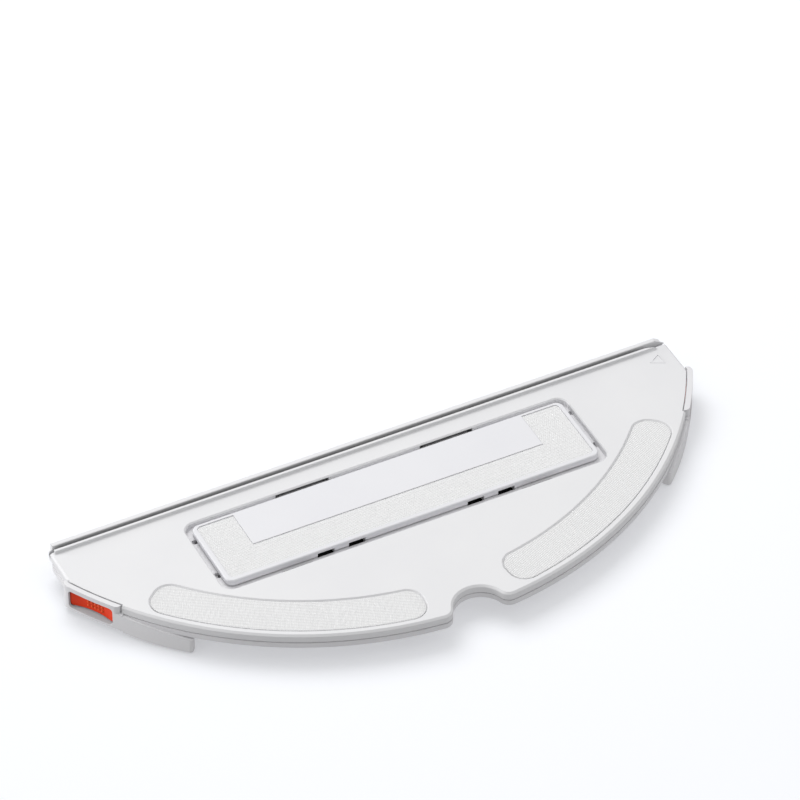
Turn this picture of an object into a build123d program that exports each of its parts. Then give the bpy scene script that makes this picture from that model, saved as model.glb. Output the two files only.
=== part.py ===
from build123d import *
from math import acos, asin, cos, degrees, radians, sin, sqrt
import os

# Mop bracket of a round robot vacuum, mop side up, standing on its two legs.
# The origin is under the middle of the bracket, +Y is the straight edge, lengths are in millimetres.
# A setback is a distance from the straight back edge towards the round front edge.
# A bearing is an angle about the robot's centre, in degrees from the front towards +X.

# Overall plan
rim_radius = 170.0
rim_step = 0.3
side_inset = 20.1
strip_width = 0.7
corner_setback = 24.87
back_corner_radius = 3.0
strip_setback = 5.0
notch_radius = 12.0
notch_mouth_radius = 5.0

# Heights
leg_height = 7.2
shell_height = 4.4
cover_height = 3.9
rim_bevel = 0.9
rim_chamfer = 1.6
groove_height = 0.3
groove_depth = 0.6

# Walls
cover_top = 2.4
cover_wall = 2.0
shell_floor = 2.0
shell_wall = 2.0
tub_wall = 2.0
seam_clearance = 0.2

# Cloth slot along the back edge
lip_margin = 1.9
lip_height = 2.1
lip_thickness = 2.3
slot_width = 1.6
ridge_height = 1.5
ridge_top = 1.2
ridge_slope = 0.6
channel_width = 3.2
channel_height = 2.0
channel_drop = 1.1
slot_bar_margin = 1.7
lead_in_length = 9.0
lead_in_width = 2.4
lip_edge_radius = 0.5
lip_end_slope = 3.0
lip_end_height = 0.3

# Pocket for the scrub plate
pocket_side_margin = 57.9
pocket_setback = 13.8
pocket_length = 44.4
pocket_radius = 5.0
pocket_bevel = 0.6
pocket_floor_drop = 3.0
pocket_floor = 1.5

# Scrub plate
plate_side_gap = 2.8
plate_back_gap = 2.6
plate_front_gap = 3.6
plate_radius = 3.5
plate_proud = 0.6
plate_height = 2.9
plate_top = 1.9
plate_wall = 1.5
plate_bevel = 0.4
plate_travel = 1.5
running_clearance = 0.4

# Snap windows in the plate's front wall, as distances from the middle
window_places = (28.5, 43.3)
window_width = 8.0
window_height = 1.5
window_opening = 5.5

# Hook pads
pad_recess = 1.0
pad_thickness = 0.9
pad_clearance = 0.3
recess_slope = 0.8
crescent_margin = 2.7
crescent_width = 18.8
crescent_offset = 19.3
crescent_gap = 6.9
crescent_corner = 8.0
u_margin = 2.1
u_back_margin = 1.5
u_arm_width = 17.6
u_bar_width = 14.7
u_corner = 2.0

# Openings in the pocket floor, as distances from the middle and from the pocket's edges
back_opening_middle = 34.9
back_opening_length = 25.6
back_opening_width = 4.0
back_notch_roof = 0.8
back_notch_depth = 3.0
front_opening_middle = 57.6
front_opening_length = 14.8
front_opening_width = 2.6
link_opening_length = 3.6
link_opening_widths = (2.4, 3.3)

# Drive carrier and its posts
link_reach = 20.3
carrier_height = 2.9
carrier_radius = 4.0
carrier_window_middle = 34.0
carrier_window_length = 30.0
carrier_window_width = 16.0
carrier_window_corner = 2.0
post_inset_x = 33.5
post_inset_y = 9.6
post_radius = 3.2
post_rise = 1.2
socket_length = 20.0
socket_width = 9.0
socket_depth = 4.6
socket_wall = 2.2
socket_drop = 2.8
socket_radius = 1.5

# Flexure links
link_back_inset = 8.6
link_front_inset = 12.9
link_blade = 0.8
link_height = 2.6
link_head_radius = 1.6
link_head_clearance = 0.1
link_slit_clearance = 0.2
link_carrier_inset = 3.5
link_anchor_inset = 4.0
anchor_length = 7.8
anchor_width = 8.0

# Button housing
housing_step = 1.5
housing_lead = 2.2
housing_span = 28.5
button_lag = 12.6
housing_depth = 14.6
housing_drop = 4.5
housing_corner = 4.0
housing_back_corner = 1.2
housing_strip = 2.8
strip_end_radius = 2.5
strip_inset = 1.5
strip_seam = 0.5
housing_wall = 1.6
housing_floor = 1.3
housing_bevel = 0.6
window_length = 22.4
window_top_margin = 2.2
window_corner = 1.8

# Release button
button_travel = 3.0
button_fit = 0.3
button_recess = 1.5
button_wing = 0.9
wing_roof = 1.5
button_wing_depth = 3.2
button_body_depth = 8.0
button_scoop_depth = 2.4
tongue_length = 15.0
tongue_width = 12.0
tongue_height = 3.2
tooth_length = 3.4
tooth_width = 8.0
tooth_reach = 6.2
tooth_setback = 3.5
tooth_ramp = 2.4
guide_length = 9.0
guide_thickness = 1.5
guide_height = 2.6

# Button spring, a bowed strip
spring_thickness = 0.4
spring_height = 2.6
spring_chord = 14.0
spring_length = 7.0
spring_stop_thickness = 1.6
spring_stop_margin = 1.0
spring_gap = 0.1
spring_flats = 12

# Legs
leg_thickness = 4.2
leg_span = 32.0
leg_foot_length = 12.0
leg_ramp = 2.0
leg_ramp_margin = 2.0
leg_end_radius = 1.4
leg_foot_bevel = 0.8
leg_root = 0.6

# Screws and their bosses
boss_radius = 3.2
pilot_radius = 1.1
pilot_depth = 4.4
screw_head_radius = 2.6
screw_head_height = 0.9
screw_shank_radius = 1.0
screw_length = 5.0
screw_head_clearance = 0.3
screw_hole_radius = 1.4
screw_sink = 1.1
rim_screw_inset = 11.0
rim_screw_end_inset = 22.6
side_screw_gap = 0.6
side_screw_offset = 6.5
round_sides = 12

# Magnet that tells the robot that the bracket is on
magnet_radius = 4.0
magnet_height = 2.0
magnet_notch_gap = 22.6
magnet_clearance = 0.15
magnet_wall = 1.2
magnet_wall_height = 1.8

# Levels and places worked out from the sizes above
parting_z = leg_height + shell_height
face_z = parting_z + cover_height
cover_under_z = face_z - cover_top
shell_floor_z = leg_height + shell_floor
pocket_floor_z = face_z - pocket_floor_drop
pocket_under_z = pocket_floor_z - pocket_floor
plate_top_z = face_z + plate_proud
plate_under_z = plate_top_z - plate_top
plate_bottom_z = plate_top_z - plate_height
carrier_top_z = pocket_under_z - running_clearance
carrier_bottom_z = carrier_top_z - carrier_height
housing_bottom_z = leg_height - housing_drop
shell_radius = rim_radius + rim_step
housing_radius = rim_radius + housing_step
crescent_outer = rim_radius - crescent_margin
crescent_inner = crescent_outer - crescent_width
crescent_middle = (crescent_inner + crescent_outer) / 2
shell_width = 2 * (shell_radius - side_inset)
mouth_reach = shell_radius - notch_mouth_radius
mouth_gap = notch_radius + notch_mouth_radius
mouth_cosine = (mouth_reach**2 + rim_radius**2 - mouth_gap**2) / (2 * rim_radius * mouth_reach)
front_reach = mouth_reach * mouth_cosine + notch_mouth_radius
centre_beyond = sqrt(shell_radius**2 - (shell_width / 2) ** 2) - corner_setback
depth = front_reach - centre_beyond
cover_width = shell_width - 2 * strip_width
lip_length = cover_width - 2 * lip_margin
back_y = depth / 2
arc_y = back_y + centre_beyond
housing_side = shell_width / 2 + housing_step
side_bearing = degrees(asin(housing_side / housing_radius))
housing_start = side_bearing - degrees(housing_span / housing_radius)
housing_end = side_bearing + degrees(housing_lead / housing_radius)
button_bearing = side_bearing - degrees(button_lag / housing_radius)
strip_start = housing_start + degrees(strip_inset / housing_radius)
leg_start = housing_start - degrees(leg_span / housing_radius)
crescent_start = degrees(crescent_offset / crescent_middle)
crescent_end = housing_start - degrees(crescent_gap / crescent_middle)
slot_setback = lip_thickness + slot_width / 2
slot_bar = lip_thickness + slot_width + ridge_top + ridge_slope + slot_bar_margin
pocket_width = shell_width - 2 * pocket_side_margin
pocket_y = back_y - pocket_setback - pocket_length / 2
plate_width = pocket_width - 2 * plate_side_gap
plate_length = pocket_length - plate_back_gap - plate_front_gap
plate_y = back_y - pocket_setback - plate_back_gap - plate_length / 2
carrier_length = pocket_width - 2 * link_reach
carrier_width = pocket_length - 2 * (plate_travel + running_clearance)
carrier_y = pocket_y
link_setbacks = (pocket_setback + link_back_inset, pocket_setback + pocket_length - link_front_inset)
post_spacing_x = plate_width - 2 * post_inset_x
post_spacing_y = plate_length - 2 * post_inset_y
magnet_y = arc_y - rim_radius + notch_radius + magnet_notch_gap
button_half = window_length / 2 - button_fit
button_bottom_z = housing_bottom_z + housing_floor + button_fit
button_face_x = housing_radius - button_recess
button_back_x = button_face_x - button_body_depth
tongue_end_x = button_back_x - tongue_length
tongue_bottom_z = shell_floor_z + button_fit
tooth_x = tongue_end_x + tooth_setback
spring_stop_x = tongue_end_x - spring_gap - spring_length
window_bottom_z = housing_bottom_z + housing_floor
window_top_z = face_z - window_top_margin
wing_top_z = parting_z - wing_roof
button_frame = Pos(0, arc_y, 0) * Rot(0, 0, button_bearing - 90)


def block(x_range, y_range, z_range):
    """Box between two limits along each axis."""
    corners = (x_range, y_range, z_range)
    middle = [(low + high) / 2 for low, high in corners]
    size = [high - low for low, high in corners]
    return Pos(*middle) * Box(*size)


def both_sides(solid):
    """The solid and its mirror image across the middle of the bracket."""
    return solid + mirror(solid, about=Plane.YZ)


def by_bearing(radius, bearing):
    """Point at a radius and bearing about the robot's centre."""
    return Vector(radius * sin(radians(bearing)), arc_y - radius * cos(radians(bearing)))


def ring_sector(inner, outer, start, end):
    """Flat piece of a ring between two radii and two bearings."""
    middle = (start + end) / 2
    outer_arc = ThreePointArc(by_bearing(outer, start), by_bearing(outer, middle), by_bearing(outer, end))
    inner_arc = ThreePointArc(by_bearing(inner, end), by_bearing(inner, middle), by_bearing(inner, start))
    end_line = Line(by_bearing(outer, end), by_bearing(inner, end))
    start_line = Line(by_bearing(inner, start), by_bearing(outer, start))
    return make_face([outer_arc, end_line, inner_arc, start_line])


def raised(sketch, low, high):
    """Sketch on the ground plane extruded between two heights."""
    return extrude(Pos(0, 0, low) * sketch, high - low)


def d_outline(radius, width, setback, inset=0):
    """Round front, straight sides and back, with the rounded notch, drawn in by an inset all round."""
    disc = Pos(0, arc_y) * Circle(radius - inset)
    field = Pos(0, back_y - setback - inset - depth) * Rectangle(width - 2 * inset, 2 * depth)
    plan = (disc & field) - Pos(0, arc_y - rim_radius) * Circle(notch_radius + inset)
    plan = fillet(plan.vertices().group_by(Axis.Y)[-1], back_corner_radius - inset)
    front = arc_y - rim_radius + notch_radius
    mouth = plan.vertices().filter_by(lambda v: abs(v.X) < 2 * notch_radius and v.Y < front)
    return fillet(mouth, notch_mouth_radius - inset)


def inner_field(setback):
    """Everything in front of a line at a setback from the back edge."""
    return Pos(0, back_y - setback - depth) * Rectangle(2 * shell_width, 2 * depth)


def screw_places():
    """Plan position of every screw that holds the two shells together."""
    first = crescent_start + degrees(rim_screw_inset / crescent_middle)
    last = crescent_end - degrees(rim_screw_end_inset / crescent_middle)
    right = [by_bearing(crescent_middle, bearing) for bearing in (first, last)]
    side_x = pocket_width / 2 + tub_wall + boss_radius + side_screw_offset
    right.append(Vector(side_x, back_y - slot_bar - shell_wall - boss_radius - side_screw_gap))
    return right + [Vector(-place.X, place.Y) for place in right]


def post_places():
    """Plan position of the four posts between the drive carrier and the scrub plate."""
    return [
        Vector(side * post_spacing_x / 2, plate_y + row * post_spacing_y / 2)
        for side in (-1, 1)
        for row in (-1, 1)
    ]


def cylinders(places, radius, low, high):
    """One upright post at each place, nearly round, with few sides because it repeats."""
    discs = [Pos(place.X, place.Y) * RegularPolygon(radius, round_sides) for place in places]
    return raised(Sketch() + discs, low, high)


def slot_rails():
    """Back lip and front ridge that stand up on either side of the cloth slot."""
    lip_face = back_y - lip_thickness
    ridge_face = lip_face - slot_width
    ridge_foot = ridge_face - ridge_top - ridge_slope
    lip = Pos(back_y - lip_thickness / 2, face_z) * Rectangle(lip_thickness, 2 * lip_height)
    lip = fillet(lip.vertices().group_by(Axis.Y)[-1], lip_edge_radius)
    crest = (ridge_face - ridge_top, face_z + ridge_height)
    slope = Bezier(crest, (crest[0] - ridge_slope / 3, face_z), (ridge_foot, face_z))
    outline = Polyline(
        (ridge_foot, face_z),
        (ridge_foot, face_z - ridge_height),
        (ridge_face, face_z - ridge_height),
        (ridge_face, face_z + ridge_height),
        crest,
    )
    ridge = make_face([slope, outline])
    rails = extrude(Plane.YZ * (lip + ridge), lip_length / 2, both=True)
    end = lip_length / 2
    top = face_z + lip_height
    corner = Polyline((end - lip_end_slope, top), (end, top), (end, face_z + lip_end_height), close=True)
    return rails - extrude(Plane.XZ * make_face(corner), depth, both=True)


def slot_space():
    """Slit, the wider channel under it and the lead-in at the end where the cloth goes in."""
    slot_y = back_y - slot_setback
    top = face_z + lip_height
    channel_top = face_z - channel_drop
    slit = Pos(slot_y, (top + channel_top) / 2) * Rectangle(slot_width, top - channel_top + channel_height)
    channel = Pos(slot_y, channel_top - channel_height / 2) * Rectangle(channel_width, channel_height)
    run = extrude(Plane.YZ * (slit + channel), cover_width, both=True)
    mouth_x = lip_length / 2
    ridge_y = slot_y - slot_width / 2
    wedge = make_face(
        Polyline(
            (mouth_x - lead_in_length, ridge_y),
            (mouth_x, ridge_y),
            (mouth_x, ridge_y - lead_in_width),
            (mouth_x - lead_in_length, ridge_y),
        )
    )
    return run + raised(wedge, face_z, top)


def crescent(inset):
    """Plan of a right-hand hook pad's recess, drawn in by an inset all round."""
    inner = crescent_inner + inset
    outer = crescent_outer - inset
    turn = degrees(2 * inset / (inner + outer))
    plan = ring_sector(inner, outer, crescent_start + turn, crescent_end - turn)
    return fillet(plan.vertices(), crescent_corner - inset)


def crescent_recess():
    """Right-hand recess with sloping sides that a hook pad lies in."""
    low = Pos(0, 0, face_z - pad_recess) * crescent(recess_slope)
    high = Pos(0, 0, face_z) * crescent(0)
    return loft([low.face(), high.face()], ruled=True)


def pocket_plan(margin):
    """Plan of the pocket, grown by a margin all round."""
    size = (pocket_width + 2 * margin, pocket_length + 2 * margin)
    return Pos(0, pocket_y) * RectangleRounded(*size, pocket_radius + margin)


def back_notches():
    """Notches in the pocket's back wall, above the openings along the floor's back edge."""
    back = pocket_y + pocket_length / 2
    half = back_opening_length / 2
    reach = (back_opening_middle - half, back_opening_middle + half)
    levels = (pocket_floor_z, face_z - back_notch_roof)
    return both_sides(block(reach, (back, back + back_notch_depth), levels))


def face_cover():
    """Mop-side cover, with the cloth slot, pocket opening, pad recesses and screw bosses."""
    body = raised(d_outline(rim_radius, cover_width, 0), parting_z, face_z)
    rim = body.faces().sort_by(Axis.Z)[-1].outer_wire().edges()
    body = chamfer(rim, rim_bevel)
    hollow = d_outline(rim_radius, cover_width, 0, cover_wall) & inner_field(slot_bar)
    body -= raised(hollow, parting_z, cover_under_z)
    body -= raised(pocket_plan(0), parting_z, face_z)
    body = chamfer(body.faces().sort_by(Axis.Z)[-1].inner_wires()[0].edges(), pocket_bevel)
    body -= back_notches()
    body += slot_rails()
    body -= slot_space()
    body -= both_sides(crescent_recess())
    seam = housing_radius - housing_strip - seam_clearance
    seam_start = strip_start - degrees(strip_seam / housing_radius)
    outside = ring_sector(seam, housing_radius, seam_start, housing_end)
    body -= both_sides(raised(outside, parting_z, face_z))
    body -= both_sides(button_room(cover_under_z))
    body += cylinders(screw_places(), boss_radius, shell_floor_z, cover_under_z)
    return body - cylinders(screw_places(), pilot_radius, shell_floor_z, shell_floor_z + pilot_depth)


def button_room(top):
    """Space behind a right-hand button window that the button and its stop wings move in."""
    half = window_length / 2 + button_fit
    wing_half = half + button_wing
    reach = (housing_radius - housing_depth + housing_wall, housing_radius - housing_wall)
    room = block(reach, (-half, half), (window_bottom_z, top))
    room += block(reach, (-wing_half, wing_half), (window_bottom_z, wing_top_z))
    tongue_half = tongue_width / 2 + button_fit
    passage = block((tongue_end_x, reach[1]), (-tongue_half, tongue_half), (shell_floor_z, top))
    return button_frame * (room + passage)


def button_window():
    """Right-hand window in the housing's outer wall."""
    height = window_top_z - window_bottom_z
    plan = RectangleRounded(window_length, height, window_corner)
    place = Plane((housing_radius - housing_strip, 0, window_bottom_z + height / 2), (0, 1, 0), (1, 0, 0))
    return button_frame * extrude(place * plan, 2 * housing_strip)


def button_housing():
    """Right-hand housing that bulges out of the rim and reaches below the shell."""
    field = Rectangle(2 * housing_side, 4 * depth)
    inner = housing_radius - housing_depth
    plan = ring_sector(inner, housing_radius, housing_start, housing_end) & field
    front = plan.vertices().sort_by(Axis.X)[-2:].sort_by(Axis.Y)[0]
    plan = fillet(front, housing_corner)
    back = plan.vertices().sort_by(Axis.X)[-2:].sort_by(Axis.Y)[-1]
    plan = fillet(back, housing_back_corner)
    body = raised(plan, housing_bottom_z, parting_z)
    strip_plan = ring_sector(housing_radius - housing_strip, housing_radius, strip_start, housing_end) & plan
    strip_end = strip_plan.vertices().sort_by(Axis.Y)[0]
    strip = raised(fillet(strip_end, strip_end_radius), parting_z, face_z)
    outer_edge = strip.faces().sort_by(Axis.Z)[-1].edges().sort_by(SortBy.LENGTH)[-1]
    body += chamfer(outer_edge, housing_bevel)
    beside_x = cover_width / 2 + seam_clearance
    beside = Pos(beside_x + shell_width / 2, 0) * Rectangle(shell_width, 4 * depth)
    corner_plan = ring_sector(inner, housing_radius, strip_start, housing_end) & plan & beside
    return body + raised(corner_plan, parting_z, face_z)


def leg_wedge(outline):
    """Outline over the way along a right-hand leg and the height, extruded across the leg."""
    inner = housing_radius - 2 * leg_thickness
    side = Plane((inner, 0, 0), (0, 1, 0), (1, 0, 0))
    wedge = extrude(side * make_face(outline), 3 * leg_thickness)
    return Pos(0, arc_y, 0) * Rot(0, 0, leg_start - 90) * wedge


def leg():
    """Right-hand curved leg, flush with the housing, its foot and its top sloping along its length."""
    plan = ring_sector(housing_radius - leg_thickness, housing_radius, leg_start, housing_start)
    tip = plan.vertices().sort_by(Axis.X)[:2]
    plan = fillet(tip, leg_end_radius)
    top = parting_z - groove_height
    body = raised(plan, 0, top)
    far = leg_span + leg_ramp_margin
    rise = leg_ramp * (far - leg_foot_length) / (leg_span - leg_foot_length)
    body -= leg_wedge(Polyline((leg_foot_length, 0), (far, 0), (far, rise), close=True))
    low = leg_height + leg_root
    body -= leg_wedge(Polyline((-leg_span, low), (0, low), (leg_span, top), (-leg_span, top), close=True))
    foot = body.faces().sort_by(Axis.Z)[0]
    return chamfer(foot.edges().sort_by(Axis.X)[0], leg_foot_bevel)


def button_guides():
    """Ribs on the shell's floor beside a right-hand button's tongue, and the stop for its spring."""
    ribs = None
    inner = tongue_width / 2 + button_fit
    start = button_back_x - button_travel - button_fit - guide_length
    high = shell_floor_z + guide_height
    low = shell_floor_z - shell_floor / 2
    for side in (-1, 1):
        reach = sorted((side * inner, side * (inner + guide_thickness)))
        rib = block((start, start + guide_length), reach, (low, high))
        ribs = rib if ribs is None else ribs + rib
    half = spring_chord / 2 + spring_stop_margin
    stop = block((spring_stop_x - spring_stop_thickness, spring_stop_x), (-half, half), (low, high))
    return button_frame * (ribs + stop)


def tooth_slot():
    """Slot in the shell's floor that a right-hand latch tooth moves in."""
    half = tooth_width / 2 + button_fit
    reach = (tooth_x - button_travel - button_fit, tooth_x + tooth_length + button_fit)
    return button_frame * block(reach, (-half, half), (0, shell_floor_z + button_fit))


def floor_openings():
    """Openings through the pocket floor for the posts and links, and along its long edges."""
    pocket_back = pocket_y + pocket_length / 2
    pocket_front = pocket_y - pocket_length / 2
    pocket_side = pocket_width / 2
    z_range = (pocket_under_z, pocket_floor_z)
    slot_length = 2 * (post_radius + plate_travel + running_clearance)
    slot_width_x = 2 * (post_radius + running_clearance)
    posts = [Pos(p.X, p.Y) * Rectangle(slot_width_x, slot_length) for p in post_places()]
    cuts = raised(Sketch() + posts, *z_range)
    back_half = back_opening_length / 2
    front_half = front_opening_length / 2
    edges = [
        block(
            (back_opening_middle - back_half, back_opening_middle + back_half),
            (pocket_back - back_opening_width, pocket_back),
            z_range,
        ),
        block(
            (front_opening_middle - front_half, front_opening_middle + front_half),
            (pocket_front, pocket_front + front_opening_width),
            z_range,
        ),
    ]
    plate_front = plate_y - plate_length / 2
    for place in window_places:
        reach = (place - window_width / 2, place + window_width / 2)
        edges.append(block(reach, (plate_front, plate_front + window_opening), z_range))
    for setback, width in zip(link_setbacks, link_opening_widths):
        middle = back_y - setback
        reach = (middle - width / 2, middle + width / 2)
        edges.append(block((pocket_side - link_opening_length, pocket_side), reach, z_range))
    for edge in edges:
        cuts += both_sides(edge)
    return cuts


def link_anchors():
    """Blocks under the pocket floor that hold the outer heads of the flexure links."""
    outer = pocket_width / 2 + tub_wall / 2
    inner = pocket_width / 2 - anchor_length
    head_x = pocket_width / 2 - link_anchor_inset
    seat_radius = link_head_radius + link_head_clearance
    slit = link_blade / 2 + link_slit_clearance
    low = leg_height
    anchors = Part()
    for setback in link_setbacks:
        middle = back_y - setback
        reach = (middle - anchor_width / 2, middle + anchor_width / 2)
        anchor = block((inner, outer), reach, (low, pocket_under_z + pocket_floor / 2))
        anchor -= cylinders([Vector(head_x, middle)], seat_radius, low, pocket_under_z)
        anchor -= block((inner, head_x), (middle - slit, middle + slit), (low, pocket_under_z))
        anchors += both_sides(anchor)
    return anchors


def magnet_seat():
    """Ring on the shell's floor round the magnet."""
    bore = magnet_radius + magnet_clearance
    ring = RegularPolygon(bore + magnet_wall, round_sides) - RegularPolygon(bore, round_sides)
    low = shell_floor_z - shell_floor / 2
    return raised(Pos(0, magnet_y) * ring, low, shell_floor_z + magnet_wall_height)


def frame_shell():
    """Robot-side shell: rim, side strips, pocket floor, button housings and legs."""
    plan = d_outline(shell_radius, shell_width, strip_setback)
    body = raised(plan, leg_height, parting_z)
    rim = body.faces().sort_by(Axis.Z)[0].outer_wire().edges()
    body = chamfer(rim, rim_chamfer)
    groove = plan - d_outline(shell_radius, shell_width, strip_setback, groove_depth)
    body -= raised(groove, parting_z - groove_height, parting_z)
    band = Pos(0, back_y - slot_bar) * Rectangle(lip_length, 2 * (slot_bar - lip_thickness))
    body += raised(band, leg_height, parting_z)
    body += both_sides(leg())
    hollow = d_outline(shell_radius, shell_width, strip_setback, shell_wall)
    body -= raised(hollow & inner_field(slot_bar + shell_wall), shell_floor_z, parting_z)
    body += raised(pocket_plan(tub_wall), leg_height, cover_under_z)
    body -= raised(pocket_plan(0), pocket_floor_z, face_z)
    body -= raised(pocket_plan(0), leg_height, pocket_under_z)
    body += link_anchors()
    body -= floor_openings()
    body -= back_notches()
    body += both_sides(button_housing())
    body -= both_sides(button_room(cover_under_z))
    body -= both_sides(button_window())
    body += both_sides(button_guides())
    body -= both_sides(tooth_slot())
    body += magnet_seat()
    places = screw_places()
    body -= cylinders(places, screw_head_radius + screw_head_clearance, leg_height, leg_height + screw_sink)
    return body - cylinders(places, screw_hole_radius, leg_height, shell_floor_z)


def hook_pad():
    """Right-hand crescent pad, lying in its recess in the cover."""
    low = face_z - pad_recess
    return raised(crescent(recess_slope + pad_clearance), low, low + pad_thickness)


def u_plan(inset):
    """Plan of the U-shaped recess on the scrub plate, open towards the back, drawn in by an inset."""
    side = plate_width / 2 - u_margin
    front = plate_y - plate_length / 2 + u_margin
    back = plate_y + plate_length / 2 - u_back_margin
    whole = Pos(0, (front + back) / 2) * Rectangle(2 * (side - inset), back - front - 2 * inset)
    gap = Rectangle(2 * (side - u_arm_width + inset), back - front)
    plan = whole - Pos(0, front + u_bar_width - inset + (back - front) / 2) * gap
    outer = plan.vertices().filter_by(lambda v: abs(v.X) > side - u_arm_width / 2)
    return fillet(outer, u_corner - inset)


def scrub_plate():
    """Floating plate with a smooth middle, a U-shaped recess, snap windows and screw posts."""
    outline = Pos(0, plate_y) * RectangleRounded(plate_width, plate_length, plate_radius)
    body = raised(outline, plate_bottom_z, plate_top_z)
    rim = body.faces().sort_by(Axis.Z)[-1].outer_wire().edges()
    body = chamfer(rim, plate_bevel)
    inner = (plate_width - 2 * plate_wall, plate_length - 2 * plate_wall)
    hollow = Pos(0, plate_y) * RectangleRounded(*inner, plate_radius - plate_wall)
    body -= raised(hollow, plate_bottom_z, plate_under_z)
    body -= raised(u_plan(0), plate_top_z - pad_recess, plate_top_z)
    front = plate_y - plate_length / 2
    for place in window_places:
        reach = (place - window_width / 2, place + window_width / 2)
        opening = block(reach, (front, front + plate_wall), (plate_bottom_z, plate_bottom_z + window_height))
        body -= both_sides(opening)
    body += cylinders(post_places(), post_radius, carrier_top_z + post_rise, plate_under_z)
    return body - cylinders(post_places(), pilot_radius, carrier_top_z + post_rise, plate_under_z)


def scrub_pad():
    """U-shaped hook pad lying in the scrub plate's recess."""
    low = plate_top_z - pad_recess
    return raised(u_plan(pad_clearance), low, low + pad_thickness)


def drive_carrier():
    """Frame under the pocket floor with the drive socket, four posts and seats for the links."""
    plan = Pos(0, carrier_y) * RectangleRounded(carrier_length, carrier_width, carrier_radius)
    window = Rectangle(carrier_window_length, carrier_window_width)
    window = chamfer(window.vertices(), carrier_window_corner)
    for side in (-1, 1):
        plan -= Pos(side * carrier_window_middle, carrier_y) * window
    body = raised(plan, carrier_bottom_z, carrier_top_z)
    collar_size = (socket_length + 2 * socket_wall, socket_width + 2 * socket_wall)
    collar = Pos(0, carrier_y) * RectangleRounded(*collar_size, socket_radius + socket_wall)
    socket_mouth_z = carrier_bottom_z - socket_drop
    body += raised(collar, socket_mouth_z, carrier_top_z)
    socket = Pos(0, carrier_y) * RectangleRounded(socket_length, socket_width, socket_radius)
    body -= raised(socket, socket_mouth_z, socket_mouth_z + socket_depth)
    body += cylinders(post_places(), post_radius, carrier_bottom_z, carrier_top_z + post_rise)
    head_x = carrier_length / 2 - link_carrier_inset
    seat_radius = link_head_radius + link_head_clearance
    slit = link_blade / 2 + link_slit_clearance
    levels = (carrier_bottom_z, carrier_top_z)
    for setback in link_setbacks:
        middle = back_y - setback
        seat = cylinders([Vector(head_x, middle)], seat_radius, *levels)
        seat += block((head_x, carrier_length / 2), (middle - slit, middle + slit), levels)
        body -= both_sides(seat)
    head = screw_head_radius + screw_head_clearance
    body -= cylinders(post_places(), head, carrier_bottom_z, carrier_bottom_z + screw_sink)
    return body - cylinders(post_places(), screw_hole_radius, carrier_bottom_z, carrier_top_z + post_rise)


def flexure_link(side, setback):
    """Thin upright blade with a round head at each end, from the carrier to its anchor."""
    middle = back_y - setback
    inner_x = carrier_length / 2 - link_carrier_inset
    outer_x = pocket_width / 2 - link_anchor_inset
    heads = [Pos(x, middle) * RegularPolygon(link_head_radius, round_sides) for x in (inner_x, outer_x)]
    blade = Pos((inner_x + outer_x) / 2, middle) * Rectangle(outer_x - inner_x, link_blade)
    low = carrier_top_z - link_height
    link = raised(blade + heads, low, carrier_top_z)
    return link if side > 0 else mirror(link, about=Plane.YZ)


def release_button():
    """Right-hand button: scooped face, stop wings, sliding tongue and latch tooth, in one piece."""
    top = cover_under_z - button_fit
    front = RectangleRounded(2 * button_half, top - button_bottom_z, window_corner)
    back = Plane((button_back_x, 0, (button_bottom_z + top) / 2), (0, 1, 0), (1, 0, 0))
    face = extrude(back * front, button_body_depth)
    scoop_radius = (button_half**2 + button_scoop_depth**2) / (2 * button_scoop_depth)
    scoop_x = button_face_x - button_scoop_depth + scoop_radius
    middle_z = (button_bottom_z + top) / 2
    scoop = Pos(scoop_x, 0, middle_z) * Cylinder(scoop_radius, 2 * (top - button_bottom_z))
    wing_half = button_half + button_wing
    wing_front = housing_radius - housing_wall - button_fit
    wing_reach = (wing_front - button_wing_depth, wing_front)
    wings = block(wing_reach, (-wing_half, wing_half), (button_bottom_z, wing_top_z - button_fit))
    tongue_half = tongue_width / 2
    tongue = block(
        (tongue_end_x, button_back_x),
        (-tongue_half, tongue_half),
        (tongue_bottom_z, tongue_bottom_z + tongue_height),
    )
    tooth_tip_z = tongue_bottom_z - tooth_reach
    outline = Polyline(
        (tooth_width / 2, tongue_bottom_z),
        (-tooth_width / 2, tongue_bottom_z),
        (-tooth_width / 2, tooth_tip_z),
        (tooth_width / 2 - tooth_ramp, tooth_tip_z),
        (tooth_width / 2, tooth_tip_z + tooth_ramp),
        close=True,
    )
    tooth = extrude(Plane((tooth_x, 0, 0), (0, 1, 0), (1, 0, 0)) * make_face(outline), tooth_length)
    return button_frame * ((face + wings - scoop) + tongue + tooth)


def bow(half, rise):
    """Points of a bow over the spring's stop, from one end to the other."""
    radius = (half**2 + rise**2) / (2 * rise)
    reach = acos((radius - rise) / radius)
    turns = [reach * (2 * step / spring_flats - 1) for step in range(spring_flats + 1)]
    return [(spring_stop_x + rise - radius + radius * cos(turn), radius * sin(turn)) for turn in turns]


def button_spring():
    """Right-hand bowed spring strip between the stop on the shell's floor and the button's tongue."""
    outer = bow(spring_chord / 2, spring_length)
    inner = bow(spring_chord / 2 - spring_thickness, spring_length - spring_thickness)
    strip = make_face(Polyline(*outer, *reversed(inner), close=True))
    low = tongue_bottom_z + (tongue_height - spring_height) / 2
    return button_frame * raised(strip, low, low + spring_height)


def screws(places, head_z):
    """Pan-head screws driven upwards, with the heads' tops at one level."""
    neck_z = head_z + screw_head_height
    heads = cylinders(places, screw_head_radius, head_z, neck_z)
    return heads + cylinders(places, screw_shank_radius, neck_z, neck_z + screw_length)


def detection_magnet():
    """Disc lying on the shell's floor inside its ring."""
    place = Vector(0, magnet_y)
    return cylinders([place], magnet_radius, shell_floor_z, shell_floor_z + magnet_height)


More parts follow.
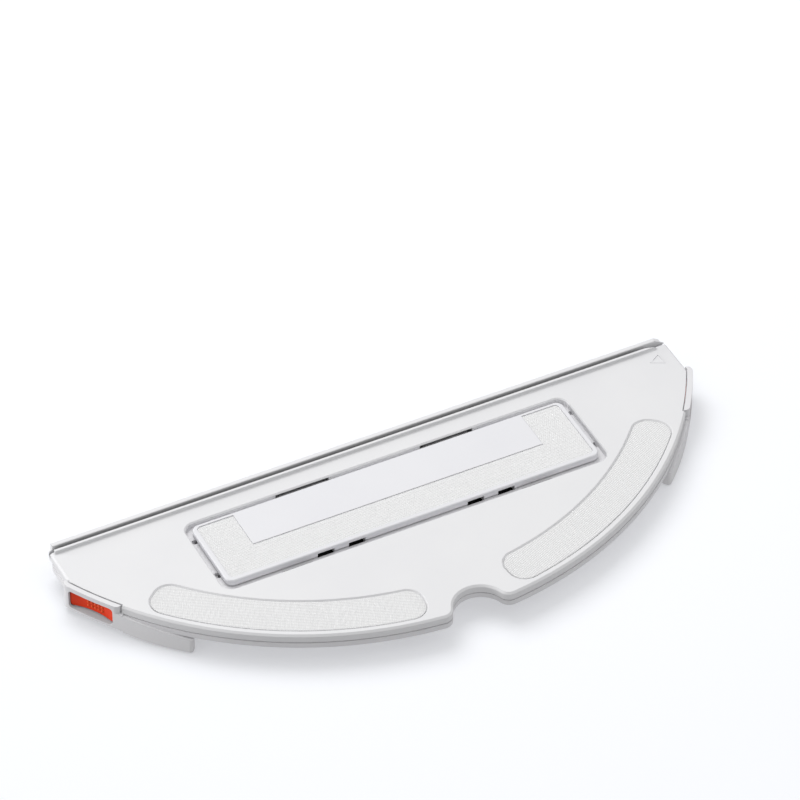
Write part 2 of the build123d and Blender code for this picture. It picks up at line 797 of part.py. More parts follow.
def nodes():
    """Every piece of the bracket under its name."""
    pieces = {
        "face_cover": face_cover(),
        "frame_shell": frame_shell(),
        "scrub_plate": scrub_plate(),
        "scrub_pad": scrub_pad(),
        "drive_carrier": drive_carrier(),
        "shell_screws": screws(screw_places(), leg_height + screw_sink - screw_head_height),
        "plate_screws": screws(post_places(), carrier_bottom_z + screw_sink - screw_head_height),
        "detection_magnet": detection_magnet(),
    }
    paired = {"hook_pad": hook_pad(), "release_button": release_button(), "button_spring": button_spring()}
    for name, piece in paired.items():
        pieces[f"right_{name}"] = piece
        pieces[f"left_{name}"] = mirror(piece, about=Plane.YZ)
    for row, setback in zip(("back", "front"), link_setbacks):
        for side_name, side in (("left", -1), ("right", 1)):
            pieces[f"{row}_{side_name}_flexure"] = flexure_link(side, setback)
    return pieces


if __name__ == "__main__":
    os.makedirs("parts", exist_ok=True)
    for node, solid in nodes().items():
        export_step(solid, f"parts/{node}.step")
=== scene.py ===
"""Studio scene of a robot vacuum's mop bracket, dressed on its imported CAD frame."""

import logging
import math
from dataclasses import dataclass
from enum import Enum
from typing import Protocol

import bpy
import numpy as np
from mathutils import Matrix, Vector


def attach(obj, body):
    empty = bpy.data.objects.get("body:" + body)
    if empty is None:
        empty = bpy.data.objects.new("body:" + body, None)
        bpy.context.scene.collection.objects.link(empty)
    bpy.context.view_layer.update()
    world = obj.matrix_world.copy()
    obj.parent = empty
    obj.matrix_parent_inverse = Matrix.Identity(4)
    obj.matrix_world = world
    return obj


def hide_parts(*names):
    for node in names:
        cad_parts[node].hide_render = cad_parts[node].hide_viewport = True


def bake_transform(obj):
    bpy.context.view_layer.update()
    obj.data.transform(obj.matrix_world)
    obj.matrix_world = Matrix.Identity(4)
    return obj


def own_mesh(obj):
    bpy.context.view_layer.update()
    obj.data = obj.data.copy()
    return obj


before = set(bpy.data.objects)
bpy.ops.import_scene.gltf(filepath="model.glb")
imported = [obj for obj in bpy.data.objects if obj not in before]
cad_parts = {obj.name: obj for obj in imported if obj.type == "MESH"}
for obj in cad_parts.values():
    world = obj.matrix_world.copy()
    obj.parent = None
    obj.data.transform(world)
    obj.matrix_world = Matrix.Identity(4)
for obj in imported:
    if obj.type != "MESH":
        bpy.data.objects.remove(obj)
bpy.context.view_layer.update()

LOG = logging.getLogger("mop_bracket")
MM = 0.001
RIM_CENTRE_Y = 112.454
Colour = tuple[float, float, float]
Place = tuple[float, float, float]


class Side(Enum):
    """Which end of the bracket a paired piece is on, as the sign of its X."""

    LEFT = -1
    RIGHT = 1

    @property
    def word(self) -> str:
        """The side's name in piece names."""
        return self.name.lower()


# Mesh tools

MERGE_DISTANCE = 1e-7
UPWARD = 0.9
SAME_PLACE = 1e-6
LEAST_LENGTH = 1e-9


def clear_selection() -> None:
    """Leave edit mode and deselect every object."""
    if bpy.context.mode != "OBJECT":
        bpy.ops.object.mode_set(mode="OBJECT")
    bpy.ops.object.select_all(action="DESELECT")


def choose(piece: bpy.types.Object) -> None:
    """Make one object the only selected and the active one.

    Args:
        piece: The object to choose.
    """
    clear_selection()
    piece.select_set(True)
    bpy.context.view_layer.objects.active = piece


def begin_edit(piece: bpy.types.Object, mode: str = "VERT") -> None:
    """Open a piece in edit mode with nothing selected.

    Args:
        piece: The mesh object to edit.
        mode: The selection mode, VERT, EDGE or FACE.
    """
    choose(piece)
    bpy.ops.object.mode_set(mode="EDIT")
    bpy.ops.mesh.select_mode(type=mode)
    bpy.ops.mesh.select_all(action="DESELECT")


def end_edit() -> None:
    """Go back to object mode."""
    bpy.ops.object.mode_set(mode="OBJECT")


def edit_faces(piece: bpy.types.Object, chosen: np.ndarray) -> None:
    """Open a piece in edit mode with only some faces selected.

    Args:
        piece: The mesh object to edit.
        chosen: True for each face to select.
    """
    begin_edit(piece, "FACE")
    end_edit()
    piece.data.polygons.foreach_set("select", chosen)
    bpy.ops.object.mode_set(mode="EDIT")


def points_of(piece: bpy.types.Object) -> np.ndarray:
    """Read a piece's vertex positions.

    Args:
        piece: The mesh object.

    Returns:
        One row for each vertex, in metres.
    """
    flat = np.zeros(len(piece.data.vertices) * 3, np.float32)
    piece.data.vertices.foreach_get("co", flat)
    return flat.reshape(-1, 3).astype(float)


def faces_of(piece: bpy.types.Object, key: str) -> np.ndarray:
    """Read the centre or the normal of each of a piece's faces.

    Args:
        piece: The mesh object.
        key: The property to read, center or normal.

    Returns:
        One row for each face.
    """
    flat = np.zeros(len(piece.data.polygons) * 3, np.float32)
    piece.data.polygons.foreach_get(key, flat)
    return flat.reshape(-1, 3)


def move_points(piece: bpy.types.Object, points: np.ndarray) -> None:
    """Put the piece's vertices at the given places, in metres."""
    piece.data.vertices.foreach_set("co", points.astype(np.float32).ravel())
    piece.data.update()


def new_grid(name: str, columns: int, rows: int) -> bpy.types.Object:
    """Add a flat grid of unit size, to be shaped through its points.

    Args:
        name: The piece's name.
        columns: How many faces it has along X.
        rows: How many faces it has along Y.

    Returns:
        The grid.
    """
    clear_selection()
    bpy.ops.mesh.primitive_grid_add(x_subdivisions=columns, y_subdivisions=rows, size=1)
    piece = bpy.context.object
    piece.name = piece.data.name = name
    return piece


def extrude_all(piece: bpy.types.Object, offset: Place) -> None:
    """Give a flat piece a thickness by extruding every face.

    Args:
        piece: The mesh object.
        offset: How far the faces move, in metres.
    """
    begin_edit(piece, "FACE")
    bpy.ops.mesh.select_all(action="SELECT")
    bpy.ops.mesh.extrude_region_move(TRANSFORM_OT_translate={"value": offset})
    end_edit()


def apply_modifier(piece: bpy.types.Object, kind: str, **settings: object) -> None:
    """Add a modifier with its settings and apply it.

    Args:
        piece: The mesh object.
        kind: The modifier's type.
        settings: Values for the modifier's properties.
    """
    choose(piece)
    modifier = piece.modifiers.new(kind.lower(), kind)
    for key, value in settings.items():
        setattr(modifier, key, value)
    bpy.ops.object.modifier_apply(modifier=modifier.name)


def round_edges(piece: bpy.types.Object, width: float, degrees: float, segments: int = 2) -> None:
    """Round every edge that is sharper than an angle.

    Args:
        piece: The mesh object.
        width: Width of the rounding, in millimetres.
        degrees: The least angle that is rounded.
        segments: How many faces go across the rounding.
    """
    apply_modifier(piece, "BEVEL", width=width * MM, segments=segments, limit_method="ANGLE",
                   angle_limit=math.radians(degrees))


def joined(pieces: list[bpy.types.Object], name: str) -> bpy.types.Object:
    """Join pieces into one object.

    Args:
        pieces: The objects to join; the first one stays.
        name: The joined object's name.

    Returns:
        The joined object.
    """
    choose(pieces[0])
    for piece in pieces:
        piece.select_set(True)
    if len(pieces) > 1:
        bpy.ops.object.join()
    pieces[0].name = pieces[0].data.name = name
    return pieces[0]


def own_copy(piece: bpy.types.Object, place: Matrix) -> bpy.types.Object:
    """Copy a piece with its own mesh, moved in its mesh.

    Args:
        piece: The mesh object to copy.
        place: Matrix from the piece's place to the copy's.

    Returns:
        The copy.
    """
    copy = piece.copy()
    copy.data = piece.data.copy()
    copy.data.transform(place)
    bpy.context.scene.collection.objects.link(copy)
    return copy


def mend_normals(piece: bpy.types.Object) -> None:
    """Merge doubles and turn every face outwards.

    Args:
        piece: The mesh object.
    """
    begin_edit(piece)
    bpy.ops.mesh.select_all(action="SELECT")
    bpy.ops.mesh.remove_doubles(threshold=MERGE_DISTANCE)
    bpy.ops.mesh.normals_make_consistent(inside=False)
    end_edit()


def smooth(piece: bpy.types.Object, degrees: float) -> None:
    """Shade a piece smooth except over edges sharper than an angle."""
    choose(piece)
    bpy.ops.object.shade_smooth_by_angle(angle=math.radians(degrees))


# Shader tools

GAP_SAMPLES = 8
EDGE_SAMPLES = 6
DRIFT_SCALE = 28.0
GLOSS_SCALE = 420.0
PLATING_SCALE = 900.0
BLACK = (0.0, 0.0, 0.0, 1.0)
WHITE = (1.0, 1.0, 1.0, 1.0)


def opaque(colour: Colour) -> tuple[float, float, float, float]:
    """The colour as a node socket takes it, with full alpha."""
    return (*colour, 1.0)


class NodeBench:
    """Adds and links nodes in one node tree."""

    def __init__(self, tree: bpy.types.NodeTree) -> None:
        """Keep the tree that nodes are added to."""
        self.tree = tree

    def feed(self, node: bpy.types.Node, socket: str | int, value: object) -> None:
        """Set an input from a value, or link it from another node's socket.

        Args:
            node: The node to feed.
            socket: The input's name or number.
            value: A value, or the socket to link from.
        """
        if isinstance(value, bpy.types.NodeSocket):
            self.tree.links.new(value, node.inputs[socket])
        else:
            node.inputs[socket].default_value = value

    def feed_all(self, node: bpy.types.Node, inputs: dict[str, object]) -> None:
        """Feed several inputs, their names written with underscores for spaces."""
        for key, value in inputs.items():
            self.feed(node, key.replace("_", " "), value)

    def add(self, kind: str, **inputs: object) -> bpy.types.Node:
        """Add a node and feed its inputs.

        Args:
            kind: The node's type.
            inputs: Values or sockets, by input name with underscores for spaces.

        Returns:
            The new node.
        """
        node = self.tree.nodes.new(kind)
        self.feed_all(node, inputs)
        return node

    def group(self, tree: bpy.types.NodeTree, **inputs: object) -> bpy.types.Node:
        """Place a shared group and feed its inputs.

        Args:
            tree: The group's tree.
            inputs: Values or sockets, by input name with underscores for spaces.

        Returns:
            The group node.
        """
        node = self.tree.nodes.new("ShaderNodeGroup")
        node.node_tree = tree
        self.feed_all(node, inputs)
        return node

    def math(self, operation: str, first: object, second: object) -> bpy.types.NodeSocket:
        """Add a math node.

        Args:
            operation: What the node does.
            first: Its first value or socket.
            second: Its second value or socket.

        Returns:
            The result.
        """
        node = self.tree.nodes.new("ShaderNodeMath")
        node.operation = operation
        self.feed(node, 0, first)
        self.feed(node, 1, second)
        return node.outputs[0]

    def spread(self, value: object, low: tuple[object, object],
               high: tuple[object, object]) -> bpy.types.NodeSocket:
        """Map a value from one range to another, held at the range's ends.

        Args:
            value: The value or socket to map.
            low: The first range's start and what it becomes.
            high: The first range's end and what it becomes.

        Returns:
            The mapped value.
        """
        node = self.add("ShaderNodeMapRange", Value=value, From_Min=low[0], From_Max=high[0],
                        To_Min=low[1], To_Max=high[1])
        return node.outputs[0]

    def place(self) -> bpy.types.NodeSocket:
        """The point's place on the piece, in object coordinates."""
        return self.add("ShaderNodeTexCoord").outputs["Object"]

    def noise(self, scale: object, detail: float) -> bpy.types.NodeSocket:
        """Noise on object coordinates, with a scale in cycles a metre."""
        node = self.add("ShaderNodeTexNoise", Vector=self.place(), Scale=scale, Detail=detail)
        return node.outputs["Fac"]

    def tint(self, share: object, first: object, second: object) -> bpy.types.NodeSocket:
        """Mix two colours.

        Args:
            share: How much of the second colour shows.
            first: The first colour or socket.
            second: The second colour or socket.

        Returns:
            The mixed colour.
        """
        node = self.tree.nodes.new("ShaderNodeMix")
        node.data_type = "RGBA"
        for socket, value in ((0, share), (6, first), (7, second)):
            self.feed(node, socket, value)
        return node.outputs[2]

    def bump(self, height: object, strength: float, depth: float,
             normal: object = None) -> bpy.types.NodeSocket:
        """Turn a height into a surface normal.

        Args:
            height: The height's socket.
            strength: How strongly it shows.
            depth: How deep a full height is, in millimetres.
            normal: The normal that the bump starts from, if not the face's own.

        Returns:
            The bumped normal.
        """
        node = self.add("ShaderNodeBump", Height=height, Strength=strength, Distance=depth * MM)
        if normal is not None:
            self.feed(node, "Normal", normal)
        return node.outputs["Normal"]


SURFACE_OUTPUTS = {"Colour": "NodeSocketColor", "Roughness": "NodeSocketFloat", "Height": "NodeSocketFloat"}


def new_group(
    name: str, colours: tuple[str, ...], values: tuple[str, ...], outputs: dict[str, str]
) -> tuple[NodeBench, bpy.types.Node, bpy.types.Node]:
    """Make an empty shader node group.

    Args:
        name: The group's name.
        colours: Names of its colour inputs.
        values: Names of its value inputs.
        outputs: Names of its outputs with their socket types.

    Returns:
        The bench, the group's input node and its output node.
    """
    tree = bpy.data.node_groups.new(name, "ShaderNodeTree")
    inputs = {**dict.fromkeys(colours, "NodeSocketColor"), **dict.fromkeys(values, "NodeSocketFloat")}
    for words, direction in ((inputs, "INPUT"), (outputs, "OUTPUT")):
        for socket, kind in words.items():
            tree.interface.new_socket(name=socket, in_out=direction, socket_type=kind)
    return NodeBench(tree), tree.nodes.new("NodeGroupInput"), tree.nodes.new("NodeGroupOutput")


def moulded_grain_group() -> bpy.types.NodeTree:
    """Group for moulded plastic: faint colour drift, uneven gloss and fine spark-eroded grain.

    Returns:
        The group, made once.
    """
    name = "moulded_grain"
    if name in bpy.data.node_groups:
        return bpy.data.node_groups[name]
    bench, given, made = new_group(
        name, ("Colour", "Deep Colour"), ("Grain Scale", "Low Roughness", "High Roughness"), SURFACE_OUTPUTS)
    drift = bench.spread(bench.noise(DRIFT_SCALE, 3.0), (0.3, 0.0), (0.7, 1.0))
    bench.feed(made, "Colour", bench.tint(drift, given.outputs["Deep Colour"], given.outputs["Colour"]))
    gloss = bench.noise(GLOSS_SCALE, 4.0)
    low = given.outputs["Low Roughness"]
    span = bench.math("SUBTRACT", given.outputs["High Roughness"], low)
    bench.feed(made, "Roughness", bench.math("ADD", low, bench.math("MULTIPLY", span, gloss)))
    bench.feed(made, "Height", bench.noise(given.outputs["Grain Scale"], 3.0))
    return bench.tree


def gap_shade_group() -> bpy.types.NodeTree:
    """Group that paints shade: it darkens a colour where a point sees little open space, as far as a mask
    lets it.

    Returns:
        The group, made once.
    """
    name = "gap_shade"
    if name in bpy.data.node_groups:
        return bpy.data.node_groups[name]
    bench, given, made = new_group(
        name, ("Colour",), ("Mask", "Reach", "Shut Level", "Open Level", "Shut Tint"),
        {"Colour": "NodeSocketColor"})
    open_space = bench.add("ShaderNodeAmbientOcclusion", Distance=given.outputs["Reach"])
    open_space.samples = GAP_SAMPLES
    level = bench.spread(open_space.outputs["AO"], (given.outputs["Shut Level"], given.outputs["Shut Tint"]),
                         (given.outputs["Open Level"], 1.0))
    # Painted shade: the colour goes towards black where the point sees little open space.
    depth = bench.math("MULTIPLY", given.outputs["Mask"], bench.math("SUBTRACT", 1.0, level))
    kept = bench.math("SUBTRACT", 1.0, depth)
    bench.feed(made, "Colour", bench.tint(kept, BLACK, given.outputs["Colour"]))
    return bench.tree


def fibre_group() -> bpy.types.NodeTree:
    """Group for hook tape: painted shade that darkens the thread colour the lower a point stands in the pile,
    with loose fibre ends as random tone.

    Returns:
        The group, made once.
    """
    name = "tape_fibres"
    if name in bpy.data.node_groups:
        return bpy.data.node_groups[name]
    bench, given, made = new_group(name, ("Tip Colour", "Root Colour"), ("Fibre Scale",), SURFACE_OUTPUTS)
    pile = bench.tree.nodes.new("ShaderNodeAttribute")
    pile.attribute_name = "pile"
    fibres = bench.noise(given.outputs["Fibre Scale"], 4.0)
    level = bench.math("ADD", pile.outputs["Fac"], bench.spread(fibres, (0.3, -0.14), (0.7, 0.14)))
    share = bench.spread(level, (0.0, 0.0), (0.8, 1.0))
    # Painted shade: the threads darken the lower they stand in the pile; the fibre noise adds random tone.
    bench.feed(made, "Colour", bench.tint(share, given.outputs["Root Colour"], given.outputs["Tip Colour"]))
    bench.feed(made, "Roughness", bench.spread(fibres, (0.2, 0.72), (0.8, 0.95)))
    bench.feed(made, "Height", fibres)
    return bench.tree


def drawn_metal_group() -> bpy.types.NodeTree:
    """Group for small steel parts: plating drift and fine draw marks.

    Returns:
        The group, made once.
    """
    name = "drawn_metal"
    if name in bpy.data.node_groups:
        return bpy.data.node_groups[name]
    bench, given, made = new_group(name, ("Colour", "Dull Colour"), ("Mark Scale",), SURFACE_OUTPUTS)
    drift = bench.noise(PLATING_SCALE, 4.0)
    bench.feed(made, "Colour", bench.tint(drift, given.outputs["Dull Colour"], given.outputs["Colour"]))
    bench.feed(made, "Roughness", bench.spread(drift, (0.2, 0.22), (0.8, 0.42)))
    bench.feed(made, "Height", bench.noise(given.outputs["Mark Scale"], 2.0))
    return bench.tree


# Finishes


@dataclass(frozen=True)
class GapShade:
    """Painted shade: how much darker a plastic's colour is painted in narrow gaps, all over or within limits.

    A limit is an axis with the place where the effect begins and the place where it is full, in millimetres.
    """

    # How dark the painted shade gets in the narrowest gaps, as a share of the colour.
    tint: float = 0.5
    span: tuple[float, float] = (0.12, 0.5)
    reach: float = 3.0
    limits: tuple[tuple[str, float, float], ...] = ()

    def over(self, bench: NodeBench, colour: bpy.types.NodeSocket) -> bpy.types.NodeSocket:
        """Paint shade into a colour in its gaps.

        Args:
            bench: The material's node bench.
            colour: The colour on open faces.

        Returns:
            The socket that carries the colour with its painted shade.
        """
        mask: object = 1.0
        for axis, begin, full in self.limits:
            place = bench.add("ShaderNodeSeparateXYZ", Vector=bench.place())
            within = bench.spread(place.outputs[axis], (begin * MM, 0.0), (full * MM, 1.0))
            mask = bench.math("MULTIPLY", mask, within)
        shade = bench.group(gap_shade_group(), Colour=colour, Mask=mask, Reach=self.reach * MM,
                            Shut_Level=self.span[0], Open_Level=self.span[1], Shut_Tint=self.tint)
        return shade.outputs["Colour"]


@dataclass(frozen=True)
class NodeFinish:
    """A finish that becomes one node material, shared by all pieces that wear it."""

    name: str

    def material(self) -> bpy.types.Material:
        """Make the finish's material, once.

        Returns:
            The material.
        """
        if self.name in bpy.data.materials:
            return bpy.data.materials[self.name]
        material = bpy.data.materials.new(self.name)
        material.use_nodes = True
        shader = next(node for node in material.node_tree.nodes if node.type == "BSDF_PRINCIPLED")
        self.wire(NodeBench(material.node_tree), shader)
        return material

    def wire(self, bench: NodeBench, shader: bpy.types.Node) -> None:
        """Lay the finish's nodes and link them to its Principled shader."""
        raise NotImplementedError


@dataclass(frozen=True)
class MouldedPlastic(NodeFinish):
    """Injection-moulded plastic with a fine satin grain and painted shade in its gaps.

    The bounce colour is what the plastic throws on its neighbours, where a strong colour would stain them.
    """

    colour: Colour
    deep_colour: Colour
    roughness: tuple[float, float] = (0.36, 0.52)
    grain_scale: float = 3600.0
    grain_depth: float = 0.012
    grain_strength: float = 0.5
    edge_radius: float = 0.35
    specular: float = 0.42
    # Painted shade laid into the plastic's colour in its gaps.
    gaps: tuple[GapShade, ...] = (GapShade(),)
    bounce: Colour | None = None

    def wire(self, bench: NodeBench, shader: bpy.types.Node) -> None:
        """Lay the grain, the painted shade in gaps and the softened edges.

        Args:
            bench: The material's node bench.
            shader: Its Principled shader.
        """
        grain = bench.group(moulded_grain_group(), Colour=opaque(self.colour),
                            Deep_Colour=opaque(self.deep_colour), Grain_Scale=self.grain_scale,
                            Low_Roughness=self.roughness[0], High_Roughness=self.roughness[1])
        bench.feed(shader, "Base Color", self.shaded(bench, grain.outputs["Colour"]))
        bench.feed(shader, "Roughness", grain.outputs["Roughness"])
        bench.feed(shader, "Specular IOR Level", self.specular)
        rounded = bench.add("ShaderNodeBevel", Radius=self.edge_radius * MM)
        rounded.samples = EDGE_SAMPLES
        normal = bench.bump(grain.outputs["Height"], self.grain_strength, self.grain_depth,
                            rounded.outputs["Normal"])
        bench.feed(shader, "Normal", normal)

    def shaded(self, bench: NodeBench, colour: bpy.types.NodeSocket) -> bpy.types.NodeSocket:
        """Darken the colour in narrow gaps as painted shade, and dull it for the light that it throws on
        other pieces.

        Args:
            bench: The material's node bench.
            colour: The colour on open faces.

        Returns:
            The socket that carries the shaded colour.
        """
        for gap in self.gaps:
            colour = gap.over(bench, colour)
        if self.bounce is None:
            return colour
        path = bench.add("ShaderNodeLightPath")
        return bench.tint(path.outputs["Is Diffuse Ray"], colour, opaque(self.bounce))


@dataclass(frozen=True)
class HookTape(NodeFinish):
    """White woven hook tape with a short looped pile."""

    tip_colour: Colour
    # Painted shade: the threads' colour low in the pile, darker than at the tips.
    root_colour: Colour
    fibre_scale: float = 5200.0
    fibre_depth: float = 0.08
    fibre_strength: float = 0.6
    sheen: float = 0.25
    specular: float = 0.2

    def wire(self, bench: NodeBench, shader: bpy.types.Node) -> None:
        """Lay the thread colour with painted shade low in the pile, and the loose fibres.

        Args:
            bench: The material's node bench.
            shader: Its Principled shader.
        """
        fibres = bench.group(fibre_group(), Tip_Colour=opaque(self.tip_colour),
                             Root_Colour=opaque(self.root_colour), Fibre_Scale=self.fibre_scale)
        bench.feed(shader, "Base Color", fibres.outputs["Colour"])
        bench.feed(shader, "Roughness", fibres.outputs["Roughness"])
        bench.feed(shader, "Sheen Weight", self.sheen)
        bench.feed(shader, "Specular IOR Level", self.specular)
        normal = bench.bump(fibres.outputs["Height"], self.fibre_strength, self.fibre_depth)
        bench.feed(shader, "Normal", normal)


@dataclass(frozen=True)
class SmallSteel(NodeFinish):
    """Plated steel of small fixings."""

    colour: Colour
    dull_colour: Colour
    mark_scale: float = 7000.0
    mark_depth: float = 0.01
    mark_strength: float = 0.3

    def wire(self, bench: NodeBench, shader: bpy.types.Node) -> None:
        """Lay the plating and its draw marks.

        Args:
            bench: The material's node bench.
            shader: Its Principled shader.
        """
        metal = bench.group(drawn_metal_group(), Colour=opaque(self.colour),
                            Dull_Colour=opaque(self.dull_colour), Mark_Scale=self.mark_scale)
        bench.feed(shader, "Base Color", metal.outputs["Colour"])
        bench.feed(shader, "Roughness", metal.outputs["Roughness"])
        bench.feed(shader, "Metallic", 1.0)
        normal = bench.bump(metal.outputs["Height"], self.mark_strength, self.mark_depth)
        bench.feed(shader, "Normal", normal)


# Painted shade: seams, the plate's gaps, the cloth slot and the pocket notches get their colour darkened
# where little open space is seen, the notches nearly to black.
SEAM_SHADE = GapShade(tint=0.75)
PLATE_SHADE = GapShade(tint=0.85)
CLOTH_SLOT_SHADE = GapShade(
    tint=0.26, span=(0.1, 0.85),
    limits=(("Y", 49.5, 50.5), ("X", 142.0, 132.0), ("X", -149.0, -146.0)))
POCKET_NOTCH_SHADE = GapShade(
    tint=0.05, span=(0.2, 0.7),
    limits=(("Y", 43.4, 43.8), ("Y", 47.4, 46.6), ("X", 48.6, 47.9), ("X", -48.6, -47.9), ("Z", 15.0, 14.8)))
BUTTON_BOUNCE = (0.42, 0.38, 0.37)

WHITE_COVER = MouldedPlastic("white_cover", (0.80, 0.80, 0.81), (0.775, 0.775, 0.79), edge_radius=0.25,
                             gaps=(SEAM_SHADE, CLOTH_SLOT_SHADE, POCKET_NOTCH_SHADE))
WHITE_SHELL = MouldedPlastic("white_shell", (0.79, 0.785, 0.80), (0.765, 0.76, 0.78), edge_radius=0.3,
                             gaps=(SEAM_SHADE, POCKET_NOTCH_SHADE))
PLATE_WHITE = MouldedPlastic("plate_white", (0.80, 0.80, 0.825), (0.78, 0.78, 0.81),
                             roughness=(0.42, 0.58), gaps=(PLATE_SHADE,))
CARRIER_BLACK = MouldedPlastic("carrier_black", (0.014, 0.014, 0.016), (0.01, 0.01, 0.012),
                               roughness=(0.5, 0.66))
LINK_GREY = MouldedPlastic("link_grey", (0.34, 0.34, 0.36), (0.3, 0.3, 0.32), roughness=(0.45, 0.6))
BUTTON_ORANGE = MouldedPlastic("button_orange", (0.94, 0.058, 0.010), (0.89, 0.048, 0.008),
                               roughness=(0.34, 0.48), specular=0.2, gaps=(), bounce=BUTTON_BOUNCE)
# Painted highlight: the button's orange made lighter on the grip bumps, for the light they catch.
GRIP_HIGHLIGHT_ORANGE = MouldedPlastic("grip_orange", (0.98, 0.12, 0.03), (0.96, 0.10, 0.024), roughness=(0.34, 0.46),
                             edge_radius=0.02, specular=0.25, gaps=(), bounce=BUTTON_BOUNCE)
# Each tape's second colour is painted shade low in the pile.
RIBBED_TAPE_WHITE = HookTape("ribbed_tape_white", (0.95, 0.95, 0.95), (0.715, 0.715, 0.72))
LOOPED_TAPE_WHITE = HookTape("looped_tape_white", (0.96, 0.96, 0.96), (0.75, 0.75, 0.755))
SCREW_STEEL = SmallSteel("screw_steel", (0.46, 0.46, 0.48), (0.36, 0.36, 0.38))
SPRING_STEEL = SmallSteel("spring_steel", (0.6, 0.6, 0.62), (0.5, 0.5, 0.52))
MAGNET_NICKEL = SmallSteel("magnet_nickel", (0.66, 0.66, 0.68), (0.58, 0.58, 0.6))


def dress(piece: bpy.types.Object, finish: NodeFinish) -> None:
    """Give a piece one finish all over."""
    piece.data.materials.clear()
    piece.data.materials.append(finish.material())


# Pieces, with their sizes in millimetres and degrees


class PieceMaker(Protocol):
    """A sub-assembly that builds one piece and dresses it."""

    def build(self) -> bpy.types.Object:
        """Model the piece."""

    def dress(self, piece: bpy.types.Object) -> None:
        """Give the piece its finish and its body."""


@dataclass
class MouldedBody:
    """A rigid CAD piece that keeps its own mesh and gets a finish."""

    node: str
    finish: NodeFinish

    def dress(self) -> None:
        """Put the finish on the CAD node."""
        dress(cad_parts[self.node], self.finish)
        LOG.info("%s dressed as %s", self.node, self.finish.name)


@dataclass
class PileWeave:
    """Height of a looped tape's pile over its plan, between 0 and 1.

    Each drift is a slow wave that keeps the rows from looking ruled, as a size and rates along and across.
    """

    rib_pitch: float = 0.92
    loop_pitch: float = 0.98
    turn: float = 0.0
    stagger: bool = False
    drifts: tuple[tuple[float, float, float], ...] = ((0.08, 0.9, 0.37), (0.05, 2.3, -1.1))
    row_drift: float = 0.5
    row_shift: float = 0.37
    row_seed: float = 12.9898
    crown_power: float = 0.8
    loop_shares: tuple[float, float] = (0.25, 0.75)
    rib_shares: tuple[float, float] = (0.55, 0.45)
    tuft_shares: tuple[float, float] = (0.85, 0.15)
    tuft_seeds: tuple[float, float] = (7.13, 3.71)

    def level(self, x: np.ndarray, y: np.ndarray) -> np.ndarray:
        """Work out how high the pile stands at each plan point.

        Args:
            x: Plan X in millimetres.
            y: Plan Y in millimetres.

        Returns:
            Levels from 0 at the ground weave to 1 at a loop's crown.
        """
        angle = math.radians(self.turn)
        along = x * math.cos(angle) + y * math.sin(angle)
        across = -x * math.sin(angle) + y * math.cos(angle)
        wander = sum(size * np.sin(along * rate + across * slant) for size, rate, slant in self.drifts)
        row = across / self.rib_pitch + wander * self.row_drift
        number = np.round(row)
        rib = 0.5 + 0.5 * np.cos(2 * np.pi * (row - number))
        shift = 0.5 * (number % 2) if self.stagger else self.row_shift * np.sin(number * self.row_seed)
        loop = 0.5 + 0.5 * np.cos(2 * np.pi * (along / self.loop_pitch + shift + wander))
        if self.stagger:
            least, rest = self.loop_shares
            return rib**self.crown_power * (least + rest * loop**self.crown_power)
        least, rest = self.tuft_shares
        first, second = self.tuft_seeds
        tuft = least + rest * np.sin(number * first + np.floor(along / self.loop_pitch) * second)
        least, rest = self.rib_shares
        return rib**self.crown_power * (least + rest * loop) * tuft


@dataclass(kw_only=True)
class TapePad:
    """Hook tape laid in a recess: a fine grid shaped in plan, its pile raised and its back closed."""

    floor: float
    ground: float = 0.55
    crown: float = 0.96
    fray_width: float = 0.5
    cut_height: tuple[float, float] = (0.35, 0.65)
    cut_level: tuple[float, float] = (0.5, 0.5)
    smooth_angle: float = 60.0

    def finish(self, piece: bpy.types.Object, weave: PileWeave, edge: np.ndarray) -> None:
        """Turn the pad's flat top sheet into the finished pad.

        Args:
            piece: The top sheet, in its plan.
            weave: The pile's pattern.
            edge: Distance of each point from the cut edge, in millimetres.
        """
        self.raise_pile(piece, weave, edge)
        self.close_back(piece)
        smooth(piece, self.smooth_angle)

    def raise_pile(self, piece: bpy.types.Object, weave: PileWeave, edge: np.ndarray) -> None:
        """Lift the sheet's points to the pile's height, lower towards its cut edge, and note the levels that
        paint shade into the threads' colour.

        Args:
            piece: The pad's top sheet, flat.
            weave: The pile's pattern.
            edge: Distance of each point from the cut edge, in millimetres.
        """
        points = points_of(piece)
        level = weave.level(points[:, 0] / MM, points[:, 1] / MM)
        inward = np.clip(edge / self.fray_width, 0.0, 1.0)
        least, rest = self.cut_height
        pile = (self.crown - self.ground) * level * (least + rest * inward)
        points[:, 2] = (self.floor + self.ground + pile) * MM
        move_points(piece, points)
        # Painted shade: the stored level darkens the threads low in the pile and towards the cut edge.
        attribute = piece.data.attributes.new("pile", "FLOAT", "POINT")
        least, rest = self.cut_level
        attribute.data.foreach_set("value", (level * (least + rest * inward)).astype(np.float32))

    def close_back(self, piece: bpy.types.Object) -> None:
        """Draw the pad's edge down to what it lies on and close its back.

        Args:
            piece: The pad's top sheet.
        """
        begin_edit(piece, "EDGE")
        bpy.ops.mesh.select_non_manifold(extend=False, use_boundary=True, use_wire=False,
                                         use_multi_face=False, use_non_contiguous=False, use_verts=False)
        bpy.ops.mesh.extrude_edges_move()
        bpy.ops.transform.resize(value=(1, 1, 0), center_override=(0, 0, self.floor * MM))
        bpy.ops.mesh.edge_face_add()
        bpy.ops.mesh.select_all(action="SELECT")
        bpy.ops.mesh.normals_make_consistent(inside=False)
        end_edit()


